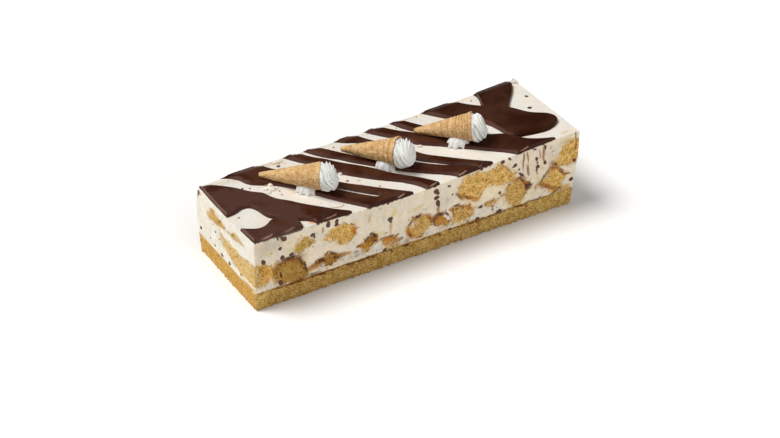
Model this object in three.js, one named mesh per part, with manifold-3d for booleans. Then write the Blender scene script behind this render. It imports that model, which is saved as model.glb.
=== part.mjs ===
// Ice cream cake bar: a sponge base, chip-flecked vanilla ice cream with sponge pieces
// running through it, poured chocolate bands and three small wafer cones with piped cream.
// Millimetres, Z up. X runs along the bar, the long cut face that shows most is at -Y,
// and z = 0 is the underside of the sponge base.
import * as THREE from "three";
import { mergeVertices } from "three/addons/utils/BufferGeometryUtils.js";
import Module from "manifold-3d";

const wasm = await Module();
wasm.setup();

// Sizes of the bar
const barLength = 300;
const barWidth = 92;
const endX = barLength / 2;
const faceY = barWidth / 2;
const baseHeight = 16.5;
const fit = 0.3;

// The sponge base: how uneven its top is and over what lengths, how far its sides crumble,
// what share of that shows under the ice cream, and how far its foot is drawn in
const baseUnevenness = 0.5;
const baseLongWave = 23;
const baseShortWave = 9.5;
const baseCrumble = 0.6;
const baseTopCrumble = 0.3;
const baseFootInset = 0.5;

// How finely the blocks are split along, across and up
const baseDivisions = [30, 5, 2];
const creamDivisions = [16, 4, 3];
const topDivisions = [16, 4, 1];
const wellBelow = -10;
const wellAbove = 120;

// Height of the ice cream along the two long edges, as [x, height]
const frontHeight = [[-150, 65], [-95, 64.6], [-50, 62.7], [5, 62.6], [90, 68.3], [150, 72.4]];
const backHeight = [[-150, 60.7], [-118, 63.6], [-75, 65], [0, 66.2], [90, 69.2], [150, 73]];
const creamEdgeDrop = 0.5;

// How far the ice cream swells past the trimmed faces, as [share of height, swell]
const backSwell = [[0, 0], [0.25, 2.4], [0.55, 3.4], [0.8, 4.2], [1, 0]];
const rightSwell = [[0, 0], [0.3, 0.3], [0.62, 2.2], [0.88, 3.4], [1, 1.2]];
const leftSwell = [[0, 0], [0.3, 0.2], [0.7, 1], [1, 1.9]];
const swellFade = 90;
const leastBackSwell = 0.5;
const leastRightSwell = 0.35;
const backCornerSwell = 0.4;

// Sponge pieces: how rough their outlines are, and how far they run past a face before
// they are trimmed with it
const crumbRoughness = 0.45;
const beyondFace = 8;

// Chocolate bands
const chocolateHeight = 3.2;
const chocolateEdge = [[0, 0.1], [0.35, 0.62], [1.6, 1]];
const bandBackRounding = 5;
const bandBackThinning = 0.4;
const bandStationsPerRung = 1.15;

// Wafer cones
const coneSides = 16;
const coneRings = 6;
const coneRingRelief = 0.32;
const coneRingCrowding = 0.9;
const coneTipRadius = 1.9;
const coneTipFlat = 0.75;
const coneWall = 1.3;
const coneLip = 0.2;
const coneRecess = 3;

// Piped cream in the cones, as [height over the mouth, share of the mouth's radius]
const swirlProfile = [[1, 0.98], [4, 1.04], [8, 1], [11, 0.82], [13, 0.5], [14.5, 0.12]];
const swirlStem = 0.94;
const swirlLobes = 9;
const swirlLobeDepth = 0.13;
const swirlTwist = 1.15;
const swirlSag = 1.8;

// Piped dollops, as [share of the height, share of the radius]
const dollopProfile = [[-0.24, 0.9], [0.18, 1], [0.5, 0.93], [0.8, 0.68], [1, 0.25]];
const dollopLobes = 8;
const dollopLobeDepth = 0.2;
const dollopTwist = 0.25;

// Chocolate chips standing just proud of the cut ice cream
const chipDepth = 0.6;
const chipSunk = 0.2;
const chipMargin = 8;
const chipRadius = [1.2, 2.2];
const chipTallness = [0.8, 1.3];
const chipHeights = [20, 60];

// The pieces of sponge, as corners in [x, z] where they show at the front face.
// Each runs to the back face, changing by backShift and backSize on the way.
const throughPieces = [
  {
    name: "sponge_piece_crusted_left",
    corners: [
      [-130.5, 37], [-126, 40], [-118, 41.5], [-111.5, 40], [-108, 32], [-104.5, 24], [-109, 18.6],
      [-129, 18.8],
    ],
    backShift: [2.5, 2], backSize: 0.86,
  },
  {
    name: "sponge_piece_slanting",
    corners: [
      [-119, 44.5], [-114, 51], [-110.5, 56], [-104, 52.5], [-98.5, 48.5], [-104, 45.5],
      [-111, 42.8],
    ],
    backShift: [4, 1.5], backSize: 0.95,
  },
  {
    name: "sponge_piece_upper_left",
    corners: [
      [-90, 47], [-86, 53], [-79, 58.5], [-71, 56], [-62, 51.5], [-60, 45.5], [-64, 40.5],
      [-70, 36], [-82, 43],
    ],
    backShift: [3, -1.5], backSize: 0.9,
  },
  {
    name: "sponge_piece_lower_left",
    corners: [
      [-97, 27], [-90, 31.5], [-84, 34], [-77, 30.5], [-70.5, 27], [-75, 24], [-84, 21], [-91, 24],
    ],
    backShift: [-2, 1.2], backSize: 1,
  },
  {
    name: "sponge_piece_low_peak",
    corners: [
      [-60, 30.5], [-54, 33], [-47, 38], [-41.5, 35], [-40, 30], [-46, 26.5], [-51, 21], [-56, 26],
    ],
    backShift: [1.5, 1], backSize: 0.95,
  },
  {
    name: "sponge_piece_low_flat",
    corners: [
      [-38, 29], [-33, 31], [-24, 28], [-20, 24], [-21, 19.5], [-27, 18.6], [-33, 20.5],
      [-37, 24.5],
    ],
    backShift: [-1.5, 2], backSize: 1,
  },
  {
    name: "sponge_piece_middle",
    corners: [
      [-14, 30], [-10, 39], [-4, 41], [4, 38.5], [11, 31], [8, 26], [2, 19.5], [-7, 18.8],
      [-12.5, 24],
    ],
    backShift: [-2, 2.5], backSize: 0.9,
  },
  {
    name: "sponge_piece_small",
    corners: [[12, 31], [15, 35.5], [20, 35], [26, 30], [29, 25], [26, 22], [19, 22.5], [13, 26]],
    backShift: [0, 1], backSize: 0.9,
  },
  {
    name: "sponge_piece_lower_right",
    corners: [
      [27.5, 31], [30, 38], [38, 37], [45, 34], [50, 28], [48.5, 22], [41, 19.5], [33, 20.5],
      [30, 25],
    ],
    backShift: [2, 0.5], backSize: 0.9,
  },
  {
    name: "sponge_piece_large_upper",
    corners: [
      [33, 49], [34.5, 57], [40, 63], [48, 63.6], [58, 61.5], [62.3, 57], [62.3, 48], [55, 39],
      [50, 37], [44, 39.5], [36, 44],
    ],
    backShift: [-2, 0.5], backSize: 0.92,
  },
  {
    name: "sponge_piece_arched",
    corners: [
      [64, 48], [64, 57], [68, 63], [74, 64.5], [81, 59], [89, 51.5], [92, 47], [87, 43.8],
      [79, 42.6], [70, 45],
    ],
    backShift: [2, 0.5], backSize: 0.92,
  },
  {
    name: "sponge_piece_upright",
    corners: [
      [84, 42.5], [90, 44.5], [97, 43], [104, 35.5], [102, 28], [97, 20], [92, 18.6], [87, 19],
      [83, 24], [79.5, 32],
    ],
    backShift: [2, 0.5], backSize: 0.92,
  },
  {
    name: "sponge_piece_kite",
    corners: [
      [116, 31], [121, 38], [127, 44], [133, 41], [142, 33], [138, 27], [136.5, 20.5], [131, 20.5],
      [122, 25],
    ],
    backShift: [-2, 2], backSize: 0.9,
  },
  {
    name: "sponge_piece_streak",
    corners: [[59.5, 29], [66, 31.5], [73, 31], [75, 29], [68, 26.5], [62, 26.5]],
    backShift: [-1, -0.5], backSize: 1.05,
  },
];

// Pieces that reach in from one long face or from an end. Corners are [x, z] for a piece
// that starts at the front face and [y, z] for one that starts at an end.
const reachingPieces = [
  {
    name: "sponge_piece_left_corner", from: "front", reach: 57, sag: -3.5,
    corners: [
      [-160, 25], [-160, 45], [-147, 44.5], [-135, 42], [-131.5, 36], [-131.5, 26], [-140, 22.5],
    ],
    backShift: [-9, 2.5], backSize: 0.42,
  },
  {
    name: "sponge_piece_right_corner", from: "front", reach: 50,
    corners: [
      [129.5, 47], [132, 57], [136, 63.5], [144, 65], [158, 65], [158, 43], [142, 43], [134, 44.5],
    ],
    backShift: [7, 1], backSize: 0.6,
  },
  {
    name: "sponge_piece_left_end_lens", from: "left", reach: 13,
    corners: [[33, 45], [28, 51], [20, 56], [11, 54], [2, 50], [8, 47], [16, 44], [26, 43]],
    backShift: [0, 0], backSize: 0.55,
  },
  {
    name: "sponge_piece_left_end_streak", from: "left", reach: 8,
    corners: [[-3, 50], [-10, 52.5], [-19, 55], [-31, 52.5], [-22, 51], [-12, 49]],
    backShift: [0, 0], backSize: 0.6,
  },
  {
    name: "sponge_piece_right_end_lens", from: "right", reach: 12,
    corners: [[36, 50], [28, 57], [18, 59], [11, 54], [14, 48], [24, 46]],
    backShift: [0, 0], backSize: 0.55,
  },
  {
    name: "sponge_piece_right_end_low", from: "right", reach: 6.5,
    corners: [[-30, 26], [-20, 33], [-8, 35], [-2, 30], [-8, 24], [-20, 22]],
    backShift: [0, 0], backSize: 0.6,
  },
];

// Each chocolate band is a row of rungs that cross it: [left x, left y, right x, right y].
// Rungs beyond the edges of the bar are where the band was trimmed with the cake.
const bands = {
  chocolate_left: [
    [
      [-172, 0, -153, 52], [-156, -3.5, -141, 39], [-144.5, -4, -131, 29],
      [-137.5, -0.5, -121.5, 15.6], [-130, -3, -112, 6], [-127, -12, -109.5, -2.4],
      [-125.5, -20, -103, -9], [-116, -31, -94, -20], [-105, -38, -81, -33],
      [-97.5, -42, -71.5, -41.5], [-96, -54, -56, -52],
    ],
    [
      [-162, -54, -162, -20], [-151.5, -54, -151.5, -25], [-141.5, -54, -141.5, -32.4],
      [-133, -54, -133, -31.5], [-124, -54, -123, -26], [-114, -54, -111, -30],
      [-109, -54, -107, -39],
    ],
  ],
  chocolate_second: [
    [
      [-138, 54, -100, 52], [-130.5, 46.5, -97, 45], [-121, 39, -94, 38], [-118, 29, -88, 30],
      [-109, 21, -82, 20], [-98, 14, -76, 10], [-88, 3, -69, -1], [-78, -12, -60.5, -15],
      [-70, -23, -52, -24.5], [-60, -35, -41, -35], [-50, -46, -29, -43.5], [-44, -54, -18, -56],
    ],
    [
      [-66, -2, -61, 2], [-57, -12.5, -53, -8.5], [-48, -22, -42, -18], [-38.5, -31.5, -30, -28.5],
      [-30, -40.5, -17.5, -39], [-26, -56, -3, -51],
    ],
  ],
  chocolate_third: [
    [
      [-82, 54, -66, 53], [-75, 46.5, -62, 43.6], [-68, 35.5, -56, 34], [-60, 27, -48.5, 26.6],
      [-53, 15, -41.5, 17.6], [-47, 5, -33, 9], [-37, -5, -21.5, -2.4], [-25, -16, -11.5, -15.4],
      [-12, -26, 2, -29], [-2, -36, 10, -38], [7, -54, 20, -53],
    ],
  ],
  chocolate_fourth: [
    [
      [-62, 54, -52, 53], [-56, 46, -45, 44], [-48, 33, -37, 33.5], [-38, 23, -28.5, 23],
      [-29, 12.5, -20, 12], [-19, 2.5, -9, 1], [-9, -8, 4, -6], [0, -17, 13, -13],
      [10, -25, 22.5, -22], [20, -33, 34, -31], [30, -41, 48, -41], [38, -54, 60, -56],
    ],
    [
      [-31, 54, -12, 53], [-27, 45, -9.5, 45], [-17, 38.5, -5.5, 36.6], [-8, 32, -0.5, 29],
      [-1, 22, 7, 20], [7, 10, 16, 9], [13, -3, 22, -3], [18, -11, 27, -10],
      [28, -20.5, 38, -20.5], [38.5, -30, 49, -31], [48, -38.5, 60, -41], [56, -54, 76, -54],
    ],
  ],
  chocolate_right: [
    [
      [-4, 54, 9, 53], [1, 46, 15, 44], [8, 36, 21, 35], [17, 26, 30, 26], [23, 18, 38, 18.5],
      [28, 9, 48, 11], [40, 0, 60, 3], [52, -11, 73, -5], [63, -20.5, 84, -12.5],
      [72, -29, 98.5, -21.5], [80, -36, 103.5, -30.4], [87, -43, 112, -38.5], [95, -54, 146, -54],
    ],
    [
      [21, 54, 31, 53], [26, 45, 35, 43.5], [31, 34, 42, 32.5], [37, 25, 47.5, 24],
      [44, 14, 55, 14], [50, 4, 62, 4],
    ],
    [
      [50, 54, 84, 54], [57, 45, 87, 44.5], [64, 35, 93, 36], [72, 25, 101, 26.5],
      [82, 17, 112, 20], [90, 8, 120, 12.5], [94.5, -2, 126, 3], [97, -13, 130, -3.5],
      [99, -24.5, 136.5, -9], [114, -29.5, 142, -13], [124, -32, 145.5, -18], [132, -32, 146, -23],
      [138.5, -30, 143.5, -27],
    ],
    [
      [106, 54, 148, 54], [109, 44.5, 145.5, 44], [107.5, 36, 141.5, 35.6], [104, 27, 134, 26],
      [104, 18, 124, 15.5], [104, 8, 118, 6],
    ],
  ],
};

// Cones lie on their sides. Yaw is the way the mouth faces, turned from +X; tilt lifts it;
// slant is how much further the mouth reaches on its near side.
const cones = [
  { name: "one", tip: [-106.2, 27.8], yaw: -48, tilt: 10.9, length: 51.5, radius: 11.2, slant: 2.6 },
  { name: "two", tip: [-31.6, 28], yaw: -51, tilt: 10.9, length: 48.7, radius: 11.4, slant: 0 },
  { name: "three", tip: [33.1, 20.2], yaw: -43.2, tilt: 13.6, length: 48, radius: 11.8, slant: 2.2 },
];
const dollops = [
  { name: "one", centre: [-81.5, -3.8], size: [18, 13, 8.5], turn: 40 },
  { name: "two", centre: [-9.7, -5.3], size: [17.5, 12.5, 8.5], turn: 38 },
  { name: "three", centre: [57.2, -9.3], size: [21, 12.5, 9], turn: 28 },
];

// The larger chips that show, as [along, up or across, radius, how much taller than wide]
const frontChips = [
  [-142, 46, 2.1, 1.2], [-128, 53, 1.5, 1], [-125.5, 46.5, 2, 1.2], [-127, 60, 2, 0.8],
  [-99.5, 55.5, 1.9, 1], [-86, 60.5, 1.7, 1.2], [-30, 45, 2.3, 1.1], [12, 57.5, 2.1, 1.1],
  [14, 51.5, 2, 1.2], [15, 44.5, 1.6, 1.8], [25, 58, 1.4, 0.6], [76, 35, 1.6, 1],
  [88, 57, 1.7, 1.1], [96, 48.5, 1.9, 1.1], [110, 57, 1.3, 1.6], [112, 49, 1.5, 1.6],
  [118, 51, 1.6, 1], [148, 27, 1.7, 1], [76, 18.7, 1.6, 0.6], [53, 19, 1.5, 0.6],
];
const topChips = [
  [-142, 43, 1.6, 0.7], [-123, 25, 1.5, 0.8], [-118, 22, 1.2, 0.8], [-144, -9, 1.3, 0.8],
  [-103, 4, 1.3, 0.8], [-84, 38, 2, 0.9], [-46, -6, 1.3, 1], [-27, -24, 1.2, 0.9],
  [137, 3, 2.2, 0.9], [145, 19, 1.9, 1],
];
const leftChips = [[42, 25, 1.3, 1], [22, 20.5, 1.2, 1], [10, 19.4, 1.2, 0.9], [-22, 20.5, 1.2, 0.9]];
const scatteredBackChips = 16;
const scatteredRightChips = 5;

const spongeGold = new THREE.Color(0.72, 0.48, 0.2);
const creamWhite = new THREE.Color(0.86, 0.81, 0.72);
const chocolateBrown = new THREE.Color(0.07, 0.028, 0.018);
const waferTan = new THREE.Color(0.75, 0.5, 0.24);
const pipedWhite = new THREE.Color(0.93, 0.92, 0.9);

const cake = new THREE.Group();
cake.name = "ice_cream_cake";

// A repeatable number from 0 to 1 for any two counts.
function chance(a, b) {
  const s = Math.sin(a * 127.1 + b * 311.7 + 17.3) * 43758.5453;
  return s - Math.floor(s);
}

// Smooth value at x through knots given as [x, value].
function through(knots, x) {
  const last = knots.length - 1;
  const at = THREE.MathUtils.clamp(x, knots[0][0], knots[last][0]);
  let i = 0;
  while (i < last - 1 && at > knots[i + 1][0]) i++;
  const slope = (a, b) => (knots[b][1] - knots[a][1]) / (knots[b][0] - knots[a][0]);
  const span = knots[i + 1][0] - knots[i][0];
  const t = (at - knots[i][0]) / span;
  const start = slope(Math.max(i - 1, 0), i + 1) * span;
  const end = slope(i, Math.min(i + 2, last)) * span;
  const t2 = t * t;
  const t3 = t2 * t;
  return (2 * t3 - 3 * t2 + 1) * knots[i][1] + (t3 - 2 * t2 + t) * start
    + (3 * t2 - 2 * t3) * knots[i + 1][1] + (t3 - t2) * end;
}

// Height of the ice cream at a point in plan.
function creamTop(x, y) {
  const back = THREE.MathUtils.clamp(y / barWidth + 0.5, 0, 1);
  return THREE.MathUtils.lerp(through(frontHeight, x), through(backHeight, x), back);
}

// Height of the sponge base, which baked a little uneven.
function baseTop(x, y) {
  const longWave = Math.sin(x / baseLongWave + 0.6) * Math.cos(y / baseLongWave);
  const shortWave = Math.sin(x / baseShortWave + y / baseLongWave);
  return baseHeight + baseUnevenness * (longWave + 0.5 * shortWave);
}

// Moves a point of the back face or of an end out by the swell at its share of the
// height. The front face was cut flat.
function swell(p, share = THREE.MathUtils.clamp(p.z / creamTop(p.x, p.y), 0, 1)) {
  const towardLeft = THREE.MathUtils.clamp((-endX + swellFade - p.x) / swellFade, 0, 1);
  const towardFront = THREE.MathUtils.clamp((swellFade / 2 - p.y) / swellFade, 0, 1);
  const back = through(backSwell, share) * THREE.MathUtils.lerp(leastBackSwell, 1, towardLeft);
  const right = through(rightSwell, share) * THREE.MathUtils.lerp(leastRightSwell, 1, towardFront);
  const left = through(leftSwell, share) * Math.sin(Math.PI * (p.y / barWidth + 0.5));
  const atBack = p.y > faceY - 1;
  if (p.x > endX - 1) p.x += right;
  if (p.x < -endX + 1) p.x -= left + (atBack ? backCornerSwell * back : 0);
  if (atBack) p.y += back;
}

// A closed solid from a geometry whose faces point outwards.
function solid(geometry) {
  geometry.deleteAttribute("normal");
  geometry.deleteAttribute("uv");
  const merged = mergeVertices(geometry, 1e-4);
  return new wasm.Manifold(new wasm.Mesh({
    numProp: 3,
    vertProperties: new Float32Array(merged.attributes.position.array),
    triVerts: new Uint32Array(merged.index.array),
  }));
}

// Six times the volume inside a triangle list, negative where it is inside out.
function signedVolume(points, index) {
  let sum = 0;
  for (let i = 0; i < index.length; i += 3) {
    const [a, b, c] = [points[index[i]], points[index[i + 1]], points[index[i + 2]]];
    sum += a.dot(b.clone().cross(c));
  }
  return sum;
}

// A solid skinned over rings with the same number of points, its two ends capped flat.
// flatten gives the two coordinates that a cap is seen in.
function loft(rings, flatten) {
  const count = rings[0].length;
  const points = rings.flat();
  const index = [];
  for (let r = 0; r < rings.length - 1; r++) {
    for (let i = 0; i < count; i++) {
      const next = (i + 1) % count;
      const [a, b] = [r * count + i, r * count + next];
      index.push(a, b, b + count, a, b + count, a + count);
    }
  }
  const cap = (start, alongRing) => {
    const outline = points.slice(start, start + count).map((p) => new THREE.Vector2(...flatten(p)));
    const winding = Math.sign(THREE.ShapeUtils.area(outline));
    for (const [a, b, c] of THREE.ShapeUtils.triangulateShape(outline, [])) {
      const same = Math.sign(THREE.ShapeUtils.area([outline[a], outline[b], outline[c]])) === winding;
      if (same === alongRing) index.push(start + a, start + b, start + c);
      else index.push(start + a, start + c, start + b);
    }
  };
  cap(0, false);
  cap((rings.length - 1) * count, true);
  if (signedVolume(points, index) < 0) index.reverse();
  const geometry = new THREE.BufferGeometry().setFromPoints(points);
  geometry.setIndex(index);
  return solid(geometry);
}

// A block over the plan of the bar whose vertices are moved by a function.
function block(divisions, move) {
  const geometry = new THREE.BoxGeometry(barLength, barWidth, 1, ...divisions);
  const positions = geometry.attributes.position;
  const point = new THREE.Vector3();
  for (let i = 0; i < positions.count; i++) {
    point.fromBufferAttribute(positions, i);
    move(point);
    positions.setXYZ(i, point.x, point.y, point.z);
  }
  return solid(geometry);
}

// Adds a solid to the cake as a named mesh.
function place(name, shape, colour, roughness) {
  const mesh = mainBody(shape).getMesh();
  const geometry = new THREE.BufferGeometry();
  const points = [];
  for (let i = 0; i < mesh.numVert; i++) {
    points.push(...mesh.vertProperties.subarray(i * mesh.numProp, i * mesh.numProp + 3));
  }
  geometry.setAttribute("position", new THREE.Float32BufferAttribute(points, 3));
  geometry.setIndex([...mesh.triVerts]);
  geometry.computeVertexNormals();
  const material = new THREE.MeshStandardMaterial({ color: colour, roughness, metalness: 0 });
  const made = new THREE.Mesh(geometry, material);
  made.name = name;
  cake.add(made);
}

// Sponge base: its sides crumble in and out and its underside is flat.
function makeBase() {
  return block(baseDivisions, (p) => {
    const level = p.z + 0.5;
    const [atTop, atFoot] = [level > 0.99, level < 0.01];
    const [atEnd, atFace] = [Math.abs(p.x) > endX - 0.01, Math.abs(p.y) > faceY - 0.01];
    const crumble = baseCrumble * chance(p.x + 7 * level, p.y);
    const inset = crumble * (atTop ? baseTopCrumble : 1) + (atFoot ? baseFootInset : 0);
    p.z = level * baseTop(p.x, p.y);
    if (atEnd) p.x -= Math.sign(p.x) * inset;
    if (atFace) p.y -= Math.sign(p.y) * inset;
    if (!atFoot) swell(p);
  });
}

// The body of ice cream before anything is taken out of it. The top edge at the back
// and at the right end is softened; the two freshly cut faces keep it sharp.
function makeCreamBlock() {
  return block(creamDivisions, (p) => {
    const soft = p.x > endX - 0.01 || p.y > faceY - 0.01;
    const top = creamTop(p.x, p.y) - (soft ? creamEdgeDrop : 0);
    p.z = THREE.MathUtils.lerp(baseTop(p.x, p.y) + fit, top, p.z + 0.5);
    swell(p);
  });
}

// Everything over the plan of the bar's top between two height functions.
function column(low, high) {
  return block(topDivisions, (p) => {
    p.z = p.z > 0 ? high(p.x, p.y) : low(p.x, p.y);
    swell(p, 1);
  });
}

// A rounded outline through the corners, moved out by grow and roughened like crumb.
function pieceOutline(corners, grow, seed, detail) {
  const points = corners.map(([u, v]) => new THREE.Vector3(u, v, 0));
  const path = new THREE.CatmullRomCurve3(points, true, "centripetal");
  const ring = path.getSpacedPoints(detail).slice(0, detail);
  const area = THREE.ShapeUtils.area(ring);
  return ring.map((p, i) => {
    const along = ring[(i + 1) % detail].clone().sub(ring[(i + detail - 1) % detail]).normalize();
    const outward = new THREE.Vector2(along.y, -along.x).multiplyScalar(Math.sign(area));
    const move = grow + crumbRoughness * (chance(i, seed) - 0.5);
    return new THREE.Vector2(p.x + outward.x * move, p.y + outward.y * move);
  });
}

// One sponge piece lofted from the face where it shows to where it ends.
function makePiece(piece, seed, grow) {
  const end = piece.from ?? "through";
  const alongX = end === "left" || end === "right";
  const start = { through: -faceY, front: -faceY, left: -endX, right: endX }[end];
  const reach = (piece.reach ?? barWidth) * (end === "right" ? -1 : 1);
  const stations = 2;
  const detail = Math.max(12, piece.corners.length + 4);
  const centre = piece.corners.reduce((sum, [u, v]) => [sum[0] + u, sum[1] + v], [0, 0])
    .map((sum) => sum / piece.corners.length);
  const endBeyond = end === "through" ? beyondFace : grow;
  const rings = [];
  for (let s = 0; s <= stations; s++) {
    const t = s / stations;
    const ease = t * t * (3 - 2 * t);
    const size = THREE.MathUtils.lerp(1, piece.backSize, ease);
    const outline = pieceOutline(piece.corners, grow, seed * 9 + s, detail);
    const beyond = { 0: -beyondFace, [stations]: endBeyond }[s] ?? 0;
    const at = start + reach * t + Math.sign(reach) * beyond;
    rings.push(outline.map((p) => {
      const u = centre[0] + (p.x - centre[0]) * size + piece.backShift[0] * ease;
      const v = centre[1] + (p.y - centre[1]) * size + piece.backShift[1] * ease
        + (piece.sag ?? 0) * Math.sin(Math.PI * t);
      return alongX ? new THREE.Vector3(at, u, v) : new THREE.Vector3(u, at, v);
    }));
  }
  return loft(rings, (p) => (alongX ? [p.y, p.z] : [p.x, p.z]));
}

// A chocolate band over its rungs, resting on the ice cream, with rounded sides.
function makeBand(rungs, grow) {
  const side = (x, y) => {
    const points = rungs.map((rung) => new THREE.Vector3(rung[x], rung[y], 0));
    return new THREE.CatmullRomCurve3(points, false, "centripetal");
  };
  const [left, right] = [side(0, 1), side(2, 3)];
  const foot = grow > 0 ? -1 : fit;
  const rise = grow > 0 ? chocolateHeight + grow + fit + 1 : chocolateHeight;
  const stations = Math.round(rungs.length * bandStationsPerRung);
  const rings = [];
  for (let s = 0; s <= stations; s++) {
    const t = s / stations;
    const a = left.getPoint(t);
    const b = right.getPoint(t);
    const across = b.clone().sub(a);
    const width = across.length();
    across.normalize();
    const ring = [];
    const put = (distance, height) => {
      const p = a.clone().addScaledVector(across, distance);
      const atBack = THREE.MathUtils.clamp((p.y - faceY) / bandBackRounding + 1, 0, 1);
      p.z = creamTop(p.x, p.y) + foot + height * (1 - bandBackThinning * atBack);
      ring.push(p);
    };
    const steps = chocolateEdge.map(([inset, share]) => [Math.min(inset, width * 0.45), share]);
    put(-grow, 0);
    for (const [inset, share] of steps) put(inset - grow, share * rise);
    for (const [inset, share] of [...steps].reverse()) put(width - inset + grow, share * rise);
    put(width + grow, 0);
    put(width / 2, 0);
    rings.push(ring);
  }
  return loft(rings, (p) => [p.x + p.y * 0.001, p.z]);
}

// The matrix that carries an upright cone to its place: its tip end and the way its mouth faces.
function coneMatrix(cone) {
  const [x, y] = cone.tip;
  const yaw = THREE.MathUtils.degToRad(cone.yaw);
  const tilt = THREE.MathUtils.degToRad(cone.tilt);
  const level = Math.cos(tilt);
  const axis = new THREE.Vector3(Math.cos(yaw) * level, Math.sin(yaw) * level, Math.sin(tilt));
  const side = new THREE.Vector3(0, 0, 1).cross(axis).normalize();
  const up = axis.clone().cross(side);
  const height = creamTop(x, y) + fit + chocolateHeight + fit + coneTipRadius;
  return new THREE.Matrix4().makeBasis(side, axis, up.negate()).setPosition(x, y, height);
}

// Wafer cone with rings pressed round it and a shallow recess at its mouth.
function makeCone(cone, grow) {
  const profile = [];
  const put = (radius, height) => profile.push(new THREE.Vector2(radius, height));
  put(0, -grow);
  put(coneTipRadius * coneTipFlat + grow, -grow);
  const steps = coneRings * 2;
  for (let i = 0; i <= steps; i++) {
    const share = Math.pow((i + 0.5) / (steps + 0.5), coneRingCrowding);
    const ring = grow > 0 || i % 2 ? coneRingRelief : -coneRingRelief;
    put(THREE.MathUtils.lerp(coneTipRadius, cone.radius, share) + ring + grow, cone.length * share);
  }
  const inner = cone.radius - coneWall;
  const floor = cone.length - coneRecess + grow;
  put(inner, cone.length + (grow > 0 ? grow : -coneLip));
  put(inner - 0.5 - grow, floor);
  put(0, floor);
  const upright = solid(new THREE.LatheGeometry(profile, coneSides));
  return moved(slanted(upright, cone), coneMatrix(cone));
}

// Rings of a piped star: lobes that twist as they close over a rounded end.
function starRings(profile, lobes, depth, twist, shape) {
  const detail = lobes * 3;
  return profile.map(([height, radius], r) => {
    const turn = twist * r / (profile.length - 1);
    const ring = [];
    for (let i = 0; i < detail; i++) {
      const angle = i / detail * 2 * Math.PI;
      const lobe = 1 - depth * (i % 3 === 0 ? 1 : 0);
      ring.push(shape(angle + turn, radius * lobe, height));
    }
    return ring;
  });
}

// Piped cream standing out of the mouth of a cone.
function makeSwirl(cone) {
  const inner = cone.radius - coneWall - 0.5 - fit;
  const mouth = cone.length;
  const reach = swirlProfile.at(-1)[0];
  const profile = [
    [mouth - coneRecess + fit, inner * swirlStem], [mouth + coneLip, inner],
    ...swirlProfile.map(([height, share]) => [mouth + height, cone.radius * share]),
  ];
  const rings = starRings(profile, swirlLobes, swirlLobeDepth, swirlTwist, (angle, radius, height) => {
    const past = Math.max(0, height - mouth) / reach;
    const across = Math.sin(angle) * radius + swirlSag * past * past;
    return new THREE.Vector3(Math.cos(angle) * radius, height, across);
  });
  const upright = loft(rings, (p) => [p.x, p.z]);
  return moved(slanted(upright, cone), coneMatrix(cone));
}

// Small piped dollop that props up a cone.
function makeDollop(dollop) {
  const [sizeX, sizeY, sizeZ] = dollop.size;
  const profile = dollopProfile.map(([height, share]) => [height * sizeZ, share]);
  const turn = THREE.MathUtils.degToRad(-dollop.turn);
  const [x, y] = dollop.centre;
  const rings = starRings(profile, dollopLobes, dollopLobeDepth, dollopTwist, (angle, radius, height) => {
    const u = Math.cos(angle) * radius * sizeX / 2;
    const v = Math.sin(angle) * radius * sizeY / 2;
    return new THREE.Vector3(
      x + u * Math.cos(turn) - v * Math.sin(turn),
      y + u * Math.sin(turn) + v * Math.cos(turn),
      creamTop(x, y) + height,
    );
  });
  return loft(rings, (p) => [p.x, p.y]);
}

// The main body of a solid, without the slivers that a cut can leave.
function mainBody(shape) {
  return shape.decompose().reduce((most, body) => (body.volume() > most.volume() ? body : most));
}

// An upright cone or swirl whose mouth leans, more so toward the mouth.
function slanted(shape, cone) {
  return shape.warp((p) => {
    const share = THREE.MathUtils.clamp(p[1] / cone.length, 0, 1);
    p[1] -= cone.slant * p[0] / cone.radius * share ** 3;
  });
}

// A solid carried by a matrix.
function moved(shape, matrix) {
  return shape.transform([...matrix.elements]);
}

// The faces that chips show on: which way is out, which is up, and where a place on it is.
const [toX, toY, toZ] = [[1, 0, 0], [0, 1, 0], [0, 0, 1]].map((axis) => new THREE.Vector3(...axis));
const faces = {
  front: { out: toY.clone().negate(), up: toZ, at: (along, height) => [along, -faceY, height] },
  back: { out: toY, up: toZ, at: (along, height) => [along, faceY, height] },
  left: { out: toX.clone().negate(), up: toZ, at: (along, height) => [-endX, along, height] },
  right: { out: toX, up: toZ, at: (along, height) => [endX, along, height] },
  top: { out: toZ, up: toY, at: (along, across) => [along, across, creamTop(along, across)] },
};

// A flat chip that lies in a face and stands just proud of it.
function makeChip([along, up, radius, tall], face, seed) {
  const centre = new THREE.Vector3(...face.at(along, up));
  swell(centre);
  centre.addScaledVector(face.out, -chipSunk);
  const sideways = face.up.clone().cross(face.out);
  const geometry = new THREE.OctahedronGeometry(1, 0);
  geometry.rotateZ(chance(seed, 3));
  geometry.scale(radius, radius * tall, chipDepth);
  geometry.applyMatrix4(new THREE.Matrix4().makeBasis(sideways, face.up, face.out));
  geometry.translate(...centre);
  return solid(geometry);
}

// Chips spread over a face of a given length that isn't laid out by hand.
function scatter(count, length, seed) {
  return Array.from({ length: count }, (_, i) => [
    (chance(i, seed) - 0.5) * (length - 2 * chipMargin),
    THREE.MathUtils.lerp(...chipHeights, chance(i, seed + 1)),
    THREE.MathUtils.lerp(...chipRadius, chance(i, seed + 2)),
    THREE.MathUtils.lerp(...chipTallness, chance(i, seed + 3)),
  ]);
}

const creamBlock = makeCreamBlock();
const overPlan = column(() => wellBelow, () => wellAbove);
const underCream = column(() => wellBelow, (x, y) => creamTop(x, y) + fit);

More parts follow.
